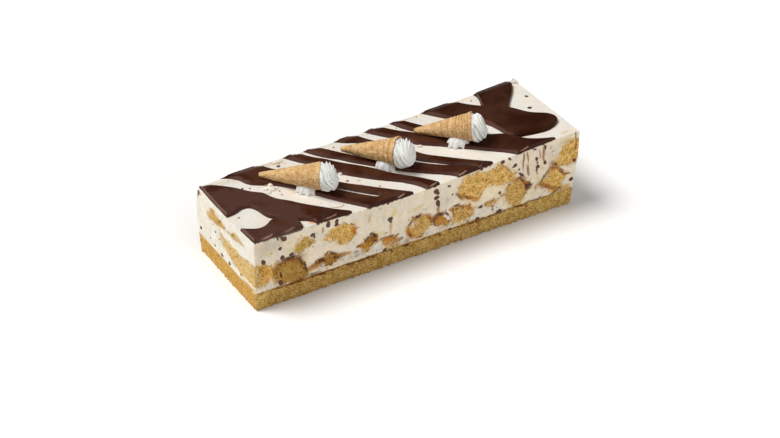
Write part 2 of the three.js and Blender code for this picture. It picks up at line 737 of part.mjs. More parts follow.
// Sponge pieces: an earlier one keeps its form where two would meet.
const spongePieces = [...throughPieces, ...reachingPieces];
const grownPieces = spongePieces.map((piece, i) => makePiece(piece, i, fit));
const finishedPieces = spongePieces.map((piece, i) => {
  let shape = makePiece(piece, i, 0).intersect(creamBlock);
  for (let j = 0; j < i; j++) shape = shape.subtract(grownPieces[j]);
  return shape;
});

const finishedBands = {};
const grownBands = [];
for (const [name, strokes] of Object.entries(bands)) {
  const poured = strokes.map((rungs) => makeBand(rungs, 0)).reduce((all, one) => all.add(one));
  finishedBands[name] = poured.intersect(overPlan);
  grownBands.push(...strokes.map((rungs) => makeBand(rungs, fit)));
}

let cream = creamBlock;
for (const grown of grownPieces) cream = cream.subtract(grown);
const chips = [
  ...frontChips.map((chip, i) => makeChip(chip, faces.front, i)),
  ...topChips.map((chip, i) => makeChip(chip, faces.top, i + 40)),
  ...leftChips.map((chip, i) => makeChip(chip, faces.left, i + 60)),
  ...scatter(scatteredBackChips, barLength, 5).map((chip, i) => makeChip(chip, faces.back, i + 80)),
  ...scatter(scatteredRightChips, barWidth, 9).map((chip, i) => makeChip(chip, faces.right, i + 100)),
];
const keepClear = [...grownPieces, ...grownBands];
for (const chip of chips) {
  if (keepClear.every((other) => chip.intersect(other).volume() === 0)) cream = cream.add(chip);
}

place("sponge_base", makeBase(), spongeGold, 0.95);
place("ice_cream", cream, creamWhite, 0.6);
spongePieces.forEach((piece, i) => place(piece.name, finishedPieces[i], spongeGold, 0.95));
for (const [name, band] of Object.entries(finishedBands)) place(name, band, chocolateBrown, 0.3);

for (const cone of cones) {
  const grownCone = makeCone(cone, fit);
  let swirl = makeSwirl(cone).subtract(underCream);
  for (const band of grownBands) swirl = swirl.subtract(band);
  place("cone_" + cone.name, makeCone(cone, 0), waferTan, 0.75);
  place("cone_cream_" + cone.name, swirl, pipedWhite, 0.55);
  const spec = dollops.find((one) => one.name === cone.name);
  let dollop = makeDollop(spec).subtract(underCream).subtract(grownCone);
  for (const band of grownBands) dollop = dollop.subtract(band);
  place("dollop_" + cone.name, dollop, pipedWhite, 0.55);
}

// Everything moves so that the origin is under the middle of the cake.
const bounds = new THREE.Box3().setFromObject(cake);
const middle = bounds.getCenter(new THREE.Vector3());
for (const mesh of cake.children) mesh.geometry.translate(-middle.x, -middle.y, 0);

export default cake;
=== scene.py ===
import math
import random

import bmesh
import bpy
import numpy as np
from mathutils import Matrix, Vector, noise
from mathutils.bvhtree import BVHTree
from mathutils.geometry import delaunay_2d_cdt


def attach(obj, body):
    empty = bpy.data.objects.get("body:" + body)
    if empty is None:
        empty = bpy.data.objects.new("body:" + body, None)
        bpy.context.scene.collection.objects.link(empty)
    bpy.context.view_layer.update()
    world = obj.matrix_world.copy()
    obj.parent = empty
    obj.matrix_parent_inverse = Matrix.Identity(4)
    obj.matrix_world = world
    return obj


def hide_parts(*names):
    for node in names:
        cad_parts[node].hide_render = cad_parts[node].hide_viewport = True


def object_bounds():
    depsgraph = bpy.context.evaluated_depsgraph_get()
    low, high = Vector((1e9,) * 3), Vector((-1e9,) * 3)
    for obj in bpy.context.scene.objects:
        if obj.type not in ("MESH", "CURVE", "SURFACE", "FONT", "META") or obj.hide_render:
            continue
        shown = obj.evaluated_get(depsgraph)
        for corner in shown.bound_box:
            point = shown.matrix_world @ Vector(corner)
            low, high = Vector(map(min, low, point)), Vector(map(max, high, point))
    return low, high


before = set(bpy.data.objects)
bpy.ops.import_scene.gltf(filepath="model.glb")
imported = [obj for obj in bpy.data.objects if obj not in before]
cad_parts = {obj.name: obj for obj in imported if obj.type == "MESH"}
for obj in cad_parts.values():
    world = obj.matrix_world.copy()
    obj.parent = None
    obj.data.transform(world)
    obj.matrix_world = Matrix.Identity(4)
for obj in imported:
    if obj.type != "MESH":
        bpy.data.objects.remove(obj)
cadLow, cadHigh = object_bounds()
print("frame loaded")

# Working sizes are in millimetres; a mesh is scaled to metres as it is made.
mm = 0.001
pieces = sorted(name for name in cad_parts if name.startswith("sponge_piece"))
barLow, barHigh = (-150.5, -48), (149.5, 44)  # the bar's corners in plan
barSize = (300, 92)
inset = 0.02  # how far every piece keeps inside the solids' box
edgeDrop = 0.3  # how far below the top the edge of a side face is read
overhead = 200  # where rays that look down at the bar start


def lerp(a, b, share):
    return a + (b - a) * share


def smoothStep(low, high, value):
    t = np.clip((value - low) / (high - low), 0, 1)
    return t * t * (3 - 2 * t)


def wave(x, y, z, size, seed=0):
    # smooth noise from about -1 to 1 over features of one size
    return noise.noise((x / size + seed * 17.3, y / size - seed * 9.1, z / size + seed * 4.7))


def waves(x, y, z, size, seed=0):
    return np.array([wave(*place, size, seed) for place in np.broadcast(x, y, z)])


def around(count):
    # angles in even steps round a full turn, with their cosines and sines
    angles = np.arange(count) * 2 * math.pi / count
    return angles, np.cos(angles), np.sin(angles)


# Meshes

def newObject(name, points, faces, material=None, edges=()):
    mesh = bpy.data.meshes.new(name)
    mesh.from_pydata((np.asarray(points, float) * mm).tolist(), edges, [list(map(int, f)) for f in faces])
    mesh.update()
    made = bpy.data.objects.new(name, mesh)
    bpy.context.scene.collection.objects.link(made)
    if material:
        mesh.materials.append(material)
    return made


def settled(obj):
    # the object with its modifiers worked into its mesh
    bpy.context.view_layer.update()
    graph = bpy.context.evaluated_depsgraph_get()
    mesh = bpy.data.meshes.new_from_object(obj.evaluated_get(graph))
    obj.modifiers.clear()
    old = obj.data
    obj.data = mesh
    mesh.name = obj.name
    if old.users == 0:
        bpy.data.meshes.remove(old)
    return obj


def discard(*objects):
    for obj in objects:
        mesh = obj.data
        bpy.data.objects.remove(obj)
        if mesh.users == 0:
            bpy.data.meshes.remove(mesh)


def cutWith(obj, operation, others):
    for other in others:
        modifier = obj.modifiers.new("cut", "BOOLEAN")
        modifier.operation = operation
        modifier.solver = "MANIFOLD"
        modifier.object = other
    return settled(obj)


def keepMainPart(obj):
    # drops slivers that a cut leaves, smaller than a twentieth of the largest part
    mesh = bmesh.new()
    mesh.from_mesh(obj.data)
    unseen = set(mesh.verts)
    islands = []
    while unseen:
        start = unseen.pop()
        island, edge = {start}, [start]
        while edge:
            for link in edge.pop().link_edges:
                for vert in link.verts:
                    if vert in unseen:
                        unseen.discard(vert)
                        island.add(vert)
                        edge.append(vert)
        islands.append(island)
    most = max(len(island) for island in islands)
    scraps = [vert for island in islands if len(island) < most / 20 for vert in island]
    bmesh.ops.delete(mesh, geom=scraps, context="VERTS")
    mesh.to_mesh(obj.data)
    mesh.free()


def fixNormals(obj):
    mesh = bmesh.new()
    mesh.from_mesh(obj.data)
    bmesh.ops.recalc_face_normals(mesh, faces=mesh.faces)
    mesh.to_mesh(obj.data)
    mesh.free()


def ringFaces(rows, count):
    # quads between rings of points, then a cap at each end
    faces = []
    for row in range(rows - 1):
        for i in range(count):
            a, b = row * count + i, row * count + (i + 1) % count
            faces.append([a, a + count, b + count, b])
    return faces + [list(range(count)), [(rows - 1) * count + i for i in range(count)][::-1]]


def coordinates(obj):
    flat = np.empty(len(obj.data.vertices) * 3)
    obj.data.vertices.foreach_get("co", flat)
    return flat.reshape(-1, 3) / mm


def moveTo(obj, points):
    obj.data.vertices.foreach_set("co", (points * mm).ravel())
    obj.data.update()


def extent(obj):
    points = coordinates(obj)
    return points.min(0), points.max(0)


def store(obj, name, values, kind="FLOAT"):
    # a value, vector or colour kept at each point, for a tree or a finish to read
    attribute = obj.data.attributes.new(name, kind, "POINT")
    field = {"FLOAT": "value", "FLOAT_VECTOR": "vector", "FLOAT_COLOR": "color"}[kind]
    attribute.data.foreach_set(field, np.asarray(values, np.float32).ravel())


def mark(obj, colours, name="mark"):
    # colour and strength of browned, stained or scraped places, of painted shade, sheen and highlights, or of
    # a tint
    store(obj, name, colours, "FLOAT_COLOR")


def layOver(under, colour, strength):
    # one of the finishes washed over others, both with their strength as a fourth value
    strength = np.clip(strength, 0, 1)[:, None]
    total = strength + under[:, 3:] * (1 - strength)
    mixed = np.array([finishes[colour]]) * strength + under[:, :3] * under[:, 3:] * (1 - strength)
    return np.concatenate([mixed / np.maximum(total, 1e-6), total], 1)


def unmarked(points):
    return np.zeros((len(points), 4))


def finishPiece(obj, material, slot, angle, *nodes):
    # faces that meet at more than the angle keep a sharp edge
    obj.data.shade_smooth()
    obj.data.set_sharp_from_angle(angle=math.radians(angle))
    obj.data.materials.clear()
    obj.data.materials.append(material)
    low, high = (np.array(list(corner)) / mm for corner in (cadLow, cadHigh))
    moveTo(obj, np.clip(coordinates(obj), low + inset, high - inset))
    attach(obj, "root")
    if nodes:
        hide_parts(*nodes)
    return obj


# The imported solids, read as triangles, and rays cast at them

def nodeTriangles(name):
    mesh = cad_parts[name].data
    mesh.calc_loop_triangles()
    points = np.array([v.co for v in mesh.vertices]) / mm
    return points[np.array([t.vertices for t in mesh.loop_triangles])]


def rayTree(names):
    corners = np.concatenate([nodeTriangles(name) for name in names]).reshape(-1, 3)
    faces = np.arange(len(corners)).reshape(-1, 3)
    return BVHTree.FromPolygons(corners.tolist(), faces.tolist())


def surfaceTree(objects):
    points, faces = [], []
    for obj in objects:
        start = len(points)
        points += [v.co / mm for v in obj.data.vertices]
        faces += [[start + i for i in p.vertices] for p in obj.data.polygons]
    return BVHTree.FromPolygons(points, faces)


def sampledFace(tree, axis, sign, uSpan, vSpan, counts, least=0):
    # How far out a face lies, as a function of the two other axes. Rays are cast inward on a
    # grid; each point keeps the outermost of its neighbours so that no joint is fallen into,
    # and a ray that passes over the edge of the face, to land further in than least, is a miss.
    us, vs = np.linspace(*uSpan, counts[0]), np.linspace(*vSpan, counts[1])
    found = np.full(counts, np.nan)
    others = [k for k in range(3) if k != axis]
    farOff = 400
    for i, u in enumerate(us):
        for j, v in enumerate(vs):
            start = [0, 0, 0]
            start[axis], start[others[0]], start[others[1]] = sign * farOff, u, v
            way = [0, 0, 0]
            way[axis] = -sign
            place = tree.ray_cast(start, way)[0]
            if place is not None and place[axis] * sign > least:
                found[i, j] = place[axis]
    for line in (*found, *found.T):  # rays that miss take the value of the nearest that hit
        hits = np.flatnonzero(~np.isnan(line))
        if len(hits):
            line[:] = line[hits[np.abs(np.arange(len(line))[:, None] - hits).argmin(1)]]

    def neighbours(grid):
        padded = np.pad(grid, 1, mode="edge")
        return [padded[i:i + counts[0], j:j + counts[1]] for i in range(3) for j in range(3)]

    outer = np.max(neighbours(found), 0) if sign > 0 else np.min(neighbours(found), 0)
    outer = np.mean(neighbours(outer), 0)

    def at(u, v):
        a, b = (np.clip((np.asarray(w, float) - ws[0]) / (ws[-1] - ws[0]), 0, 1) * (len(ws) - 1)
                for w, ws in ((u, us), (v, vs)))
        i = np.minimum(a.astype(int), counts[0] - 2)
        j = np.minimum(b.astype(int), counts[1] - 2)
        a, b = a - i, b - j
        low = lerp(outer[i, j], outer[i + 1, j], a)
        high = lerp(outer[i, j + 1], outer[i + 1, j + 1], a)
        return lerp(low, high, b)
    return at


barTree = rayTree(["ice_cream", "sponge_base", *pieces])
topTree = rayTree(["ice_cream"])
baseTree = rayTree(["sponge_base"])
front = sampledFace(barTree, 1, -1, (-149, 148), (0.6, 71), (61, 25), 47.2)
back = sampledFace(barTree, 1, 1, (-150, 149), (0.6, 72), (61, 25), 43.3)
left = sampledFace(barTree, 0, -1, (-47, 45), (0.6, 64), (25, 25), 149.6)
right = sampledFace(barTree, 0, 1, (-47, 45), (0.6, 72), (25, 25), 148.6)
top = sampledFace(topTree, 2, 1, (-150, 149), (-47.5, 43.5), (61, 13))
baseTop = sampledFace(baseTree, 2, 1, (-149, 148), (-47, 43), (61, 13))
faceLook = {"front": (front, 1, -1), "back": (back, 1, 1), "left": (left, 0, -1), "right": (right, 0, 1),
            "top": (top, 2, 1)}  # how far out each lies, its axis and its sense
print("faces of the bar read")


def onFace(side, a, b, out=0):
    # a place on a face of the bar, from its two other coordinates, and how far it stands out
    face, axis, sign = faceLook[side]
    place = [a, b]
    place.insert(axis, float(face(a, b)) + sign * out)
    return place


# Blocks cut from the bar, as closed grids that follow its faces

def boxGrid(counts, openBottom=False):
    nx, ny, nz = counts
    number, shares, quads = {}, [], []

    def at(i, j, k):
        key = (i, j, k)
        if key not in number:
            number[key] = len(shares)
            shares.append((i / nx, j / ny, k / nz))
        return number[key]

    for i in range(nx):
        for k in range(nz):
            quads.append([at(i, 0, k), at(i + 1, 0, k), at(i + 1, 0, k + 1), at(i, 0, k + 1)])
            quads.append([at(i, ny, k), at(i, ny, k + 1), at(i + 1, ny, k + 1), at(i + 1, ny, k)])
    for j in range(ny):
        for k in range(nz):
            quads.append([at(0, j, k), at(0, j, k + 1), at(0, j + 1, k + 1), at(0, j + 1, k)])
            quads.append([at(nx, j, k), at(nx, j + 1, k), at(nx, j + 1, k + 1), at(nx, j, k + 1)])
    for level in ((nz,) if openBottom else (0, nz)):
        for i in range(nx):
            for j in range(ny):
                quad = [at(i, j, level), at(i + 1, j, level), at(i + 1, j + 1, level), at(i, j + 1, level)]
                quads.append(quad if level else quad[::-1])
    if openBottom:  # one broad face, as nothing there shows
        quads.append(rimOf(at, nx, ny, 0)[::-1])
    return np.array(shares), quads


def rimOf(at, nx, ny, level):
    # the points round one level of a grid, in turn
    rim = [at(i, 0, level) for i in range(nx)] + [at(nx, j, level) for j in range(ny)]
    return rim + [at(i, ny, level) for i in range(nx, 0, -1)] + [at(0, j, level) for j in range(ny, 0, -1)]


def barPoints(shares, low, high, xShares=(0, 1), yShares=(0, 1)):
    # shares of the bar's length, width and height turned into places between its faces
    a = lerp(*xShares, shares[:, 0])
    b = lerp(*yShares, shares[:, 1])
    x, y = lerp(barLow[0], barHigh[0], a), lerp(barLow[1], barHigh[1], b)
    z = lerp(low(x, y), high(x, y), shares[:, 2])
    y = lerp(front(x, z), back(x, z), b)
    x = lerp(left(y, z), right(y, z), a)
    return np.stack([x, y, z], 1)


# Geometry Nodes and shader trees

def feed(tree, socket, value):
    if isinstance(value, bpy.types.NodeSocket):
        tree.links.new(value, socket)
    else:
        socket.default_value = value


def addNode(tree, kind, inputs=None, **settings):
    node = tree.nodes.new(kind)
    for name, value in settings.items():
        setattr(node, name, value)
    for key, value in (inputs or {}).items():
        feed(tree, node.inputs[key], value)
    return node


def mathNode(tree, operation, a, b=0, c=0, clamp=False):
    node = addNode(tree, "ShaderNodeMath", {0: a, 1: b, 2: c}, operation=operation, use_clamp=clamp)
    return node.outputs[0]


def product(tree, a, b):
    return mathNode(tree, "MULTIPLY", a, b)


def vectorNode(tree, operation, vector, other):
    key = "Scale" if operation == "SCALE" else 1
    return addNode(tree, "ShaderNodeVectorMath", {0: vector, key: other}, operation=operation).outputs[0]


def rangeNode(tree, value, low, high, newLow=0, newHigh=1):
    # a smooth step between two levels
    ends = {"Value": value, "From Min": low, "From Max": high, "To Min": newLow, "To Max": newHigh}
    return addNode(tree, "ShaderNodeMapRange", ends, interpolation_type="SMOOTHSTEP").outputs["Result"]


def newTree(name, kind, inputs, outputs):
    # each input by its name, with its value or else its kind of socket; each output with its kind
    tree = bpy.data.node_groups.new(name, kind)
    for label, value in inputs.items():
        socketKind = value if isinstance(value, str) else "Float"
        socket = tree.interface.new_socket(label, in_out="INPUT", socket_type="NodeSocket" + socketKind)
        if socketKind == "Float":
            socket.default_value = value
    for label, socketKind in outputs.items():
        tree.interface.new_socket(label, in_out="OUTPUT", socket_type="NodeSocket" + socketKind)
    return tree, tree.nodes.new("NodeGroupInput").outputs, tree.nodes.new("NodeGroupOutput").inputs


def runTree(obj, tree, **values):
    # a modifier input is set by its socket's identifier, before the object is evaluated
    modifier = obj.modifiers.new(tree.name, "NODES")
    modifier.node_group = tree
    identifiers = {s.name: s.identifier for s in tree.interface.items_tree if s.in_out == "INPUT"}
    for name, value in values.items():
        modifier[identifiers[name]] = value
    return settled(obj)


def closeTree(tree, geometry, material, output):
    realized = addNode(tree, "GeometryNodeRealizeInstances", {"Geometry": geometry}).outputs[0]
    painted = addNode(tree, "GeometryNodeSetMaterial", {"Geometry": realized, "Material": material})
    tree.links.new(painted.outputs[0], output["Geometry"])


def raised(tree, geometry, rise):
    # a surface moved along its normals
    normal = addNode(tree, "GeometryNodeInputNormal").outputs[0]
    offset = vectorNode(tree, "SCALE", normal, rise)
    return addNode(tree, "GeometryNodeSetPosition", {"Geometry": geometry, "Offset": offset}).outputs[0]


def namedNode(tree, name, kind="FLOAT_VECTOR"):
    node = addNode(tree, "GeometryNodeInputNamedAttribute", {"Name": name}, data_type=kind)
    return node.outputs["Attribute"]


def reliefTree():
    # raises and pits a surface along its normals: broad swells, finer grain and scattered pores
    tree, given, output = newTree("surface relief", "GeometryNodeTree", {
        "Geometry": "Geometry", "Swell Size": 0.008, "Swell Depth": 0.0002, "Grain Size": 0.0015,
        "Grain Depth": 0.0001, "Pore Size": 0.002, "Pore Depth": 0, "Seed": 0, "Material": "Material",
    }, {"Geometry": "Geometry"})
    place = addNode(tree, "GeometryNodeInputPosition").outputs[0]

    def noiseAt(label, seedShift):
        scale = mathNode(tree, "DIVIDE", 1, given[label + " Size"])
        seed = mathNode(tree, "ADD", given["Seed"], seedShift)
        inputs = {"Vector": place, "W": seed, "Scale": scale, "Detail": 2}
        texture = addNode(tree, "ShaderNodeTexNoise", inputs, noise_dimensions="4D")
        level = mathNode(tree, "MULTIPLY_ADD", texture.outputs["Fac"], 2, -1)
        return product(tree, level, given[label + " Depth"])

    poreScale = mathNode(tree, "DIVIDE", 1, given["Pore Size"])
    stir = addNode(tree, "ShaderNodeTexNoise", {"Vector": place, "Scale": poreScale}).outputs["Color"]
    stirred = vectorNode(tree, "ADD", place, vectorNode(tree, "SCALE", stir, given["Pore Size"]))
    cells = addNode(tree, "ShaderNodeTexVoronoi", {"Vector": stirred, "Scale": poreScale}).outputs
    pit = rangeNode(tree, cells["Distance"], 0.12, 0.5, 1, 0)
    chosen = addNode(tree, "FunctionNodeSeparateColor", {"Color": cells["Color"]}).outputs["Red"]
    pit = product(tree, product(tree, pit, rangeNode(tree, chosen, 0.35, 0.7)), given["Pore Depth"])
    rise = mathNode(tree, "ADD", noiseAt("Swell", 0), noiseAt("Grain", 5))
    rise = mathNode(tree, "SUBTRACT", rise, pit)
    closeTree(tree, raised(tree, given["Geometry"], rise), given["Material"], output)
    return tree


def chipTree():
    # chips at the points of a mesh, each turned and sized by what its point holds
    tree, given, output = newTree("chips on points", "GeometryNodeTree", {
        "Geometry": "Geometry", "Roughness": 0.3, "Material": "Material"}, {"Geometry": "Geometry"})
    ball = addNode(tree, "GeometryNodeMeshIcoSphere", {"Radius": 1, "Subdivisions": 2})
    rotation = addNode(tree, "FunctionNodeEulerToRotation", {"Euler": namedNode(tree, "turn")})
    placed = addNode(tree, "GeometryNodeInstanceOnPoints", {
        "Points": given["Geometry"], "Instance": ball.outputs["Mesh"],
        "Rotation": rotation.outputs[0], "Scale": namedNode(tree, "size")})
    realized = addNode(tree, "GeometryNodeRealizeInstances", {"Geometry": placed.outputs[0]})
    place = addNode(tree, "GeometryNodeInputPosition").outputs[0]
    texture = addNode(tree, "ShaderNodeTexNoise", {"Vector": place, "Scale": 420, "Detail": 1})
    rise = product(tree, mathNode(tree, "SUBTRACT", texture.outputs["Fac"], 0.5), given["Roughness"])
    rise = product(tree, rise, 0.003)
    closeTree(tree, raised(tree, realized.outputs[0], rise), given["Material"], output)
    return tree


def sauceTree():
    # round strings along the edges of a mesh, as thick as each point says
    tree, given, output = newTree("strings of sauce", "GeometryNodeTree", {
        "Geometry": "Geometry", "Flatness": 1, "Material": "Material"}, {"Geometry": "Geometry"})
    line = addNode(tree, "GeometryNodeMeshToCurve", {"Mesh": given["Geometry"]}).outputs[0]
    line = addNode(tree, "GeometryNodeCurveSplineType", {"Curve": line}, spline_type="CATMULL_ROM").outputs[0]
    line = addNode(tree, "GeometryNodeResampleCurve", {"Curve": line, "Length": 0.0006}, mode="LENGTH")
    thick = product(tree, namedNode(tree, "width", "FLOAT"), given["Flatness"])
    profile = addNode(tree, "GeometryNodeCurvePrimitiveCircle", {"Resolution": 8, "Radius": 1})
    tube = addNode(tree, "GeometryNodeCurveToMesh", {
        "Curve": line.outputs[0], "Profile Curve": profile.outputs[0], "Fill Caps": True, "Scale": thick})
    closeTree(tree, tube.outputs[0], given["Material"], output)
    return tree


def placeNode(tree):
    return addNode(tree, "ShaderNodeTexCoord").outputs["Object"]


def noiseNode(tree, size, detail=4, stretch=None):
    scale = 1 / size if isinstance(size, float) else mathNode(tree, "DIVIDE", 1, size)
    place = placeNode(tree)
    if stretch:
        place = addNode(tree, "ShaderNodeMapping", {"Vector": place, "Scale": stretch}).outputs[0]
    texture = addNode(tree, "ShaderNodeTexNoise", {"Vector": place, "Scale": scale, "Detail": detail})
    return texture.outputs["Fac"]


def attributeNode(tree, name):
    return addNode(tree, "ShaderNodeAttribute", attribute_name=name).outputs


def mottleGroup():
    # broad and fine changes of shade over a surface, as one value from 0 to 1
    tree, given, output = newTree("mottle", "ShaderNodeTree", {
        "Broad Size": 0.012, "Fine Size": 0.0015, "Fine Share": 0.4, "Contrast": 1}, {"Value": "Float"})
    broad, fine = (noiseNode(tree, given[size]) for size in ("Broad Size", "Fine Size"))
    mixed = addNode(tree, "ShaderNodeMix", {0: given["Fine Share"], 2: broad, 3: fine}).outputs[0]
    strength = product(tree, given["Contrast"], 3)
    value = mathNode(tree, "MULTIPLY_ADD", mathNode(tree, "SUBTRACT", mixed, 0.5), strength, 0.5, clamp=True)
    tree.links.new(value, output["Value"])
    return tree


def poreGroup():
    # irregular dark pores: the deepest places of a fine noise
    tree, given, output = newTree("pores", "ShaderNodeTree", {"Size": 0.002, "From": 0.56, "To": 0.68},
                                  {"Value": "Float"})
    deep = noiseNode(tree, given["Size"], 2)
    tree.links.new(rangeNode(tree, deep, given["From"], given["To"]), output["Value"])
    return tree


def markGroup():
    # the marked colour of a surface, and where it shows, broken up into patches
    tree, given, output = newTree("marked places", "ShaderNodeTree", {"Patch Size": 0.002, "Patchiness": 0.8},
                                  {"Color": "Color", "Value": "Float"})
    held = attributeNode(tree, "mark")
    patches = mathNode(tree, "SUBTRACT", noiseNode(tree, given["Patch Size"], 3), 0.5)
    strength = mathNode(tree, "MULTIPLY_ADD", patches, given["Patchiness"], held["Alpha"])
    some = rangeNode(tree, held["Alpha"], 0, 0.15)
    tree.links.new(held["Color"], output["Color"])
    tree.links.new(product(tree, rangeNode(tree, strength, 0.08, 0.68), some), output["Value"])
    return tree


def facingGroup():
    # which way a surface faces on the bar: up or down, and to the ends
    tree, given, output = newTree("facing", "ShaderNodeTree", {"Sharpness": 0.2},
                                  {"Level": "Float", "End": "Float"})
    normal = addNode(tree, "ShaderNodeNewGeometry").outputs["Normal"]
    parts = addNode(tree, "ShaderNodeSeparateXYZ", {"Vector": normal})
    low, high = (mathNode(tree, way, 0.62, given["Sharpness"]) for way in ("SUBTRACT", "ADD"))
    for axis, name in (("Z", "Level"), ("X", "End")):
        size = mathNode(tree, "ABSOLUTE", parts.outputs[axis])
        tree.links.new(rangeNode(tree, size, low, high), output[name])
    return tree


relief = reliefTree()
chipsOnPoints = chipTree()
stringsOfSauce = sauceTree()
mottle = mottleGroup()
pores = poreGroup()
markedPlaces = markGroup()
facing = facingGroup()


def roughen(obj, material, look):
    # swell, grain and pore relief, each in the look by its size and its depth
    values = {}
    for label in ("Swell", "Grain", "Pore"):
        size, depth = look[label.lower()]
        values[label + " Size"], values[label + " Depth"] = size * mm, depth * mm
    return runTree(obj, relief, Material=material, **values)


def newMaterial(name, roughness, **plain):
    material = bpy.data.materials.new(name)
    material.use_nodes = True
    shader = material.node_tree.nodes["Principled BSDF"]
    shader.inputs["Roughness"].default_value = roughness
    for label, value in plain.items():
        shader.inputs[label.replace("_", " ")].default_value = value
    return material, material.node_tree, shader


def groupNode(tree, group, **values):
    node = addNode(tree, "ShaderNodeGroup", node_tree=group)
    for label, value in values.items():
        node.inputs[label.replace("_", " ")].default_value = value
    return node.outputs if len(node.outputs) > 1 else node.outputs[0]


def mixColour(tree, share, first, second):
    # of two colours, each a socket or one of the finishes
    first, second = ((*finishes[value], 1) if isinstance(value, str) else value for value in (first, second))
    return addNode(tree, "ShaderNodeMix", {0: share, 6: first, 7: second}, data_type="RGBA").outputs[2]


def withMarks(tree, colour, patchSize, patchiness, strength=1):
    marked = groupNode(tree, markedPlaces, Patch_Size=patchSize, Patchiness=patchiness)
    return mixColour(tree, product(tree, marked["Value"], strength), colour, marked["Color"])


def mottled(tree, broadSize, fineSize, fineShare, contrast):
    return groupNode(tree, mottle, Broad_Size=broadSize, Fine_Size=fineSize, Fine_Share=fineShare,
                     Contrast=contrast)


def connect(tree, shader, colour, height, distance, strength=1):
    # the colour and a bump of this height on a shader
    bump = addNode(tree, "ShaderNodeBump", {"Height": height, "Distance": distance, "Strength": strength})
    tree.links.new(colour, shader.inputs["Base Color"])
    tree.links.new(bump.outputs[0], shader.inputs["Normal"])


# Finishes, with colours as linear red, green and blue

finishes = {
    "baseSide": (0.57, 0.355, 0.1), "baseEnd": (0.7, 0.41, 0.105),
    "pieceSide": (0.81, 0.5, 0.142), "pieceEnd": (0.8, 0.55, 0.22),
    "toasted": (0.47, 0.268, 0.06), "browned": (0.39, 0.19, 0.034), "amber": (0.56, 0.285, 0.064),
    "soft": (0.675, 0.412, 0.117), "deepGold": (0.7, 0.385, 0.085), "endGold": (0.69, 0.43, 0.135),
    "orange": (0.66, 0.27, 0.038), "crust": (0.2, 0.074, 0.016), "umber": (0.105, 0.036, 0.012),
    "rust": (0.41, 0.165, 0.034), "caramel": (0.5, 0.22, 0.045), "tan": (0.6, 0.42, 0.2),
    "honey": (0.66, 0.43, 0.115), "straw": (0.74, 0.63, 0.32), "rose": (0.84, 0.68, 0.52),
    "peach": (0.86, 0.45, 0.26), "grey": (0.3, 0.28, 0.26), "white": (0.9, 0.86, 0.77),
    "shade": (0.62, 0.54, 0.41), "butter": (0.9, 0.77, 0.52), "smear": (0.72, 0.53, 0.27),
    "creamSide": (0.825, 0.725, 0.56), "creamEnd": (0.87, 0.835, 0.73), "creamTop": (0.795, 0.755, 0.68),
    "curd": (0.84, 0.78, 0.67), "creamSpeck": (0.3, 0.25, 0.22),
    "chocolate": (0.034, 0.0078, 0.0022), "chocolateSheen": (0.067, 0.0235, 0.012),
    "chocolateDull": (0.078, 0.034, 0.026), "chocolateFront": (0.046, 0.0145, 0.0095),
    "chocolateCut": (0.115, 0.06, 0.051), "scraped": (0.42, 0.24, 0.17), "chip": (0.08, 0.03, 0.018),
    "chipLight": (0.136, 0.051, 0.0306),
    "wafer": (0.6, 0.345, 0.13), "waferDark": (0.36, 0.145, 0.03), "waferLight": (0.8, 0.54, 0.27),
    "piped": (0.985, 0.985, 0.96), "pipedShade": (0.93575, 0.93575, 0.912), "pipedDeep": (0.74, 0.76, 0.7),
    "sauce": (0.52, 0.31, 0.125), "sauceDark": (0.3, 0.14, 0.045),
    # what another colour is multiplied by
    "crumbDark": (0.66, 0.59, 0.38), "crumbLight": (1.26, 1.34, 1.7), "crumbHole": (0.34, 0.22, 0.08),
    "unchanged": (1, 1, 1), "cooler": (0.99, 1, 1.03), "warmer": (1.04, 1, 0.95),
}


def crumbMaterial(name, side, end, contrast, poreShade):
    material, tree, shader = newMaterial(name, 0.85, Specular_IOR_Level=0.1)
    onEnd = groupNode(tree, facing, Sharpness=0.25)["End"]
    toned = attributeNode(tree, "tint")
    # painted light: the end faces take a lighter colour than the front and back
    colour = mixColour(tree, toned["Alpha"], mixColour(tree, onEnd, side, end), toned["Color"])
    colour = withMarks(tree, colour, 0.0019, 1.3, 0.95)
    shading = mottled(tree, 0.0052, 0.0014, 0.6, contrast)
    tone = mixColour(tree, shading, "crumbDark", "crumbLight")
    # painted shade in the crumb's pores
    shadedPores = groupNode(tree, pores, Size=0.002, From=0.585, To=0.665)
    tone = mixColour(tree, product(tree, shadedPores, poreShade), tone, "crumbHole")
    tone = mixColour(tree, product(tree, onEnd, 0.55), tone, "unchanged")
    connect(tree, shader, vectorNode(tree, "MULTIPLY", colour, tone), noiseNode(tree, 0.0009, 3), 0.0009)
    return material


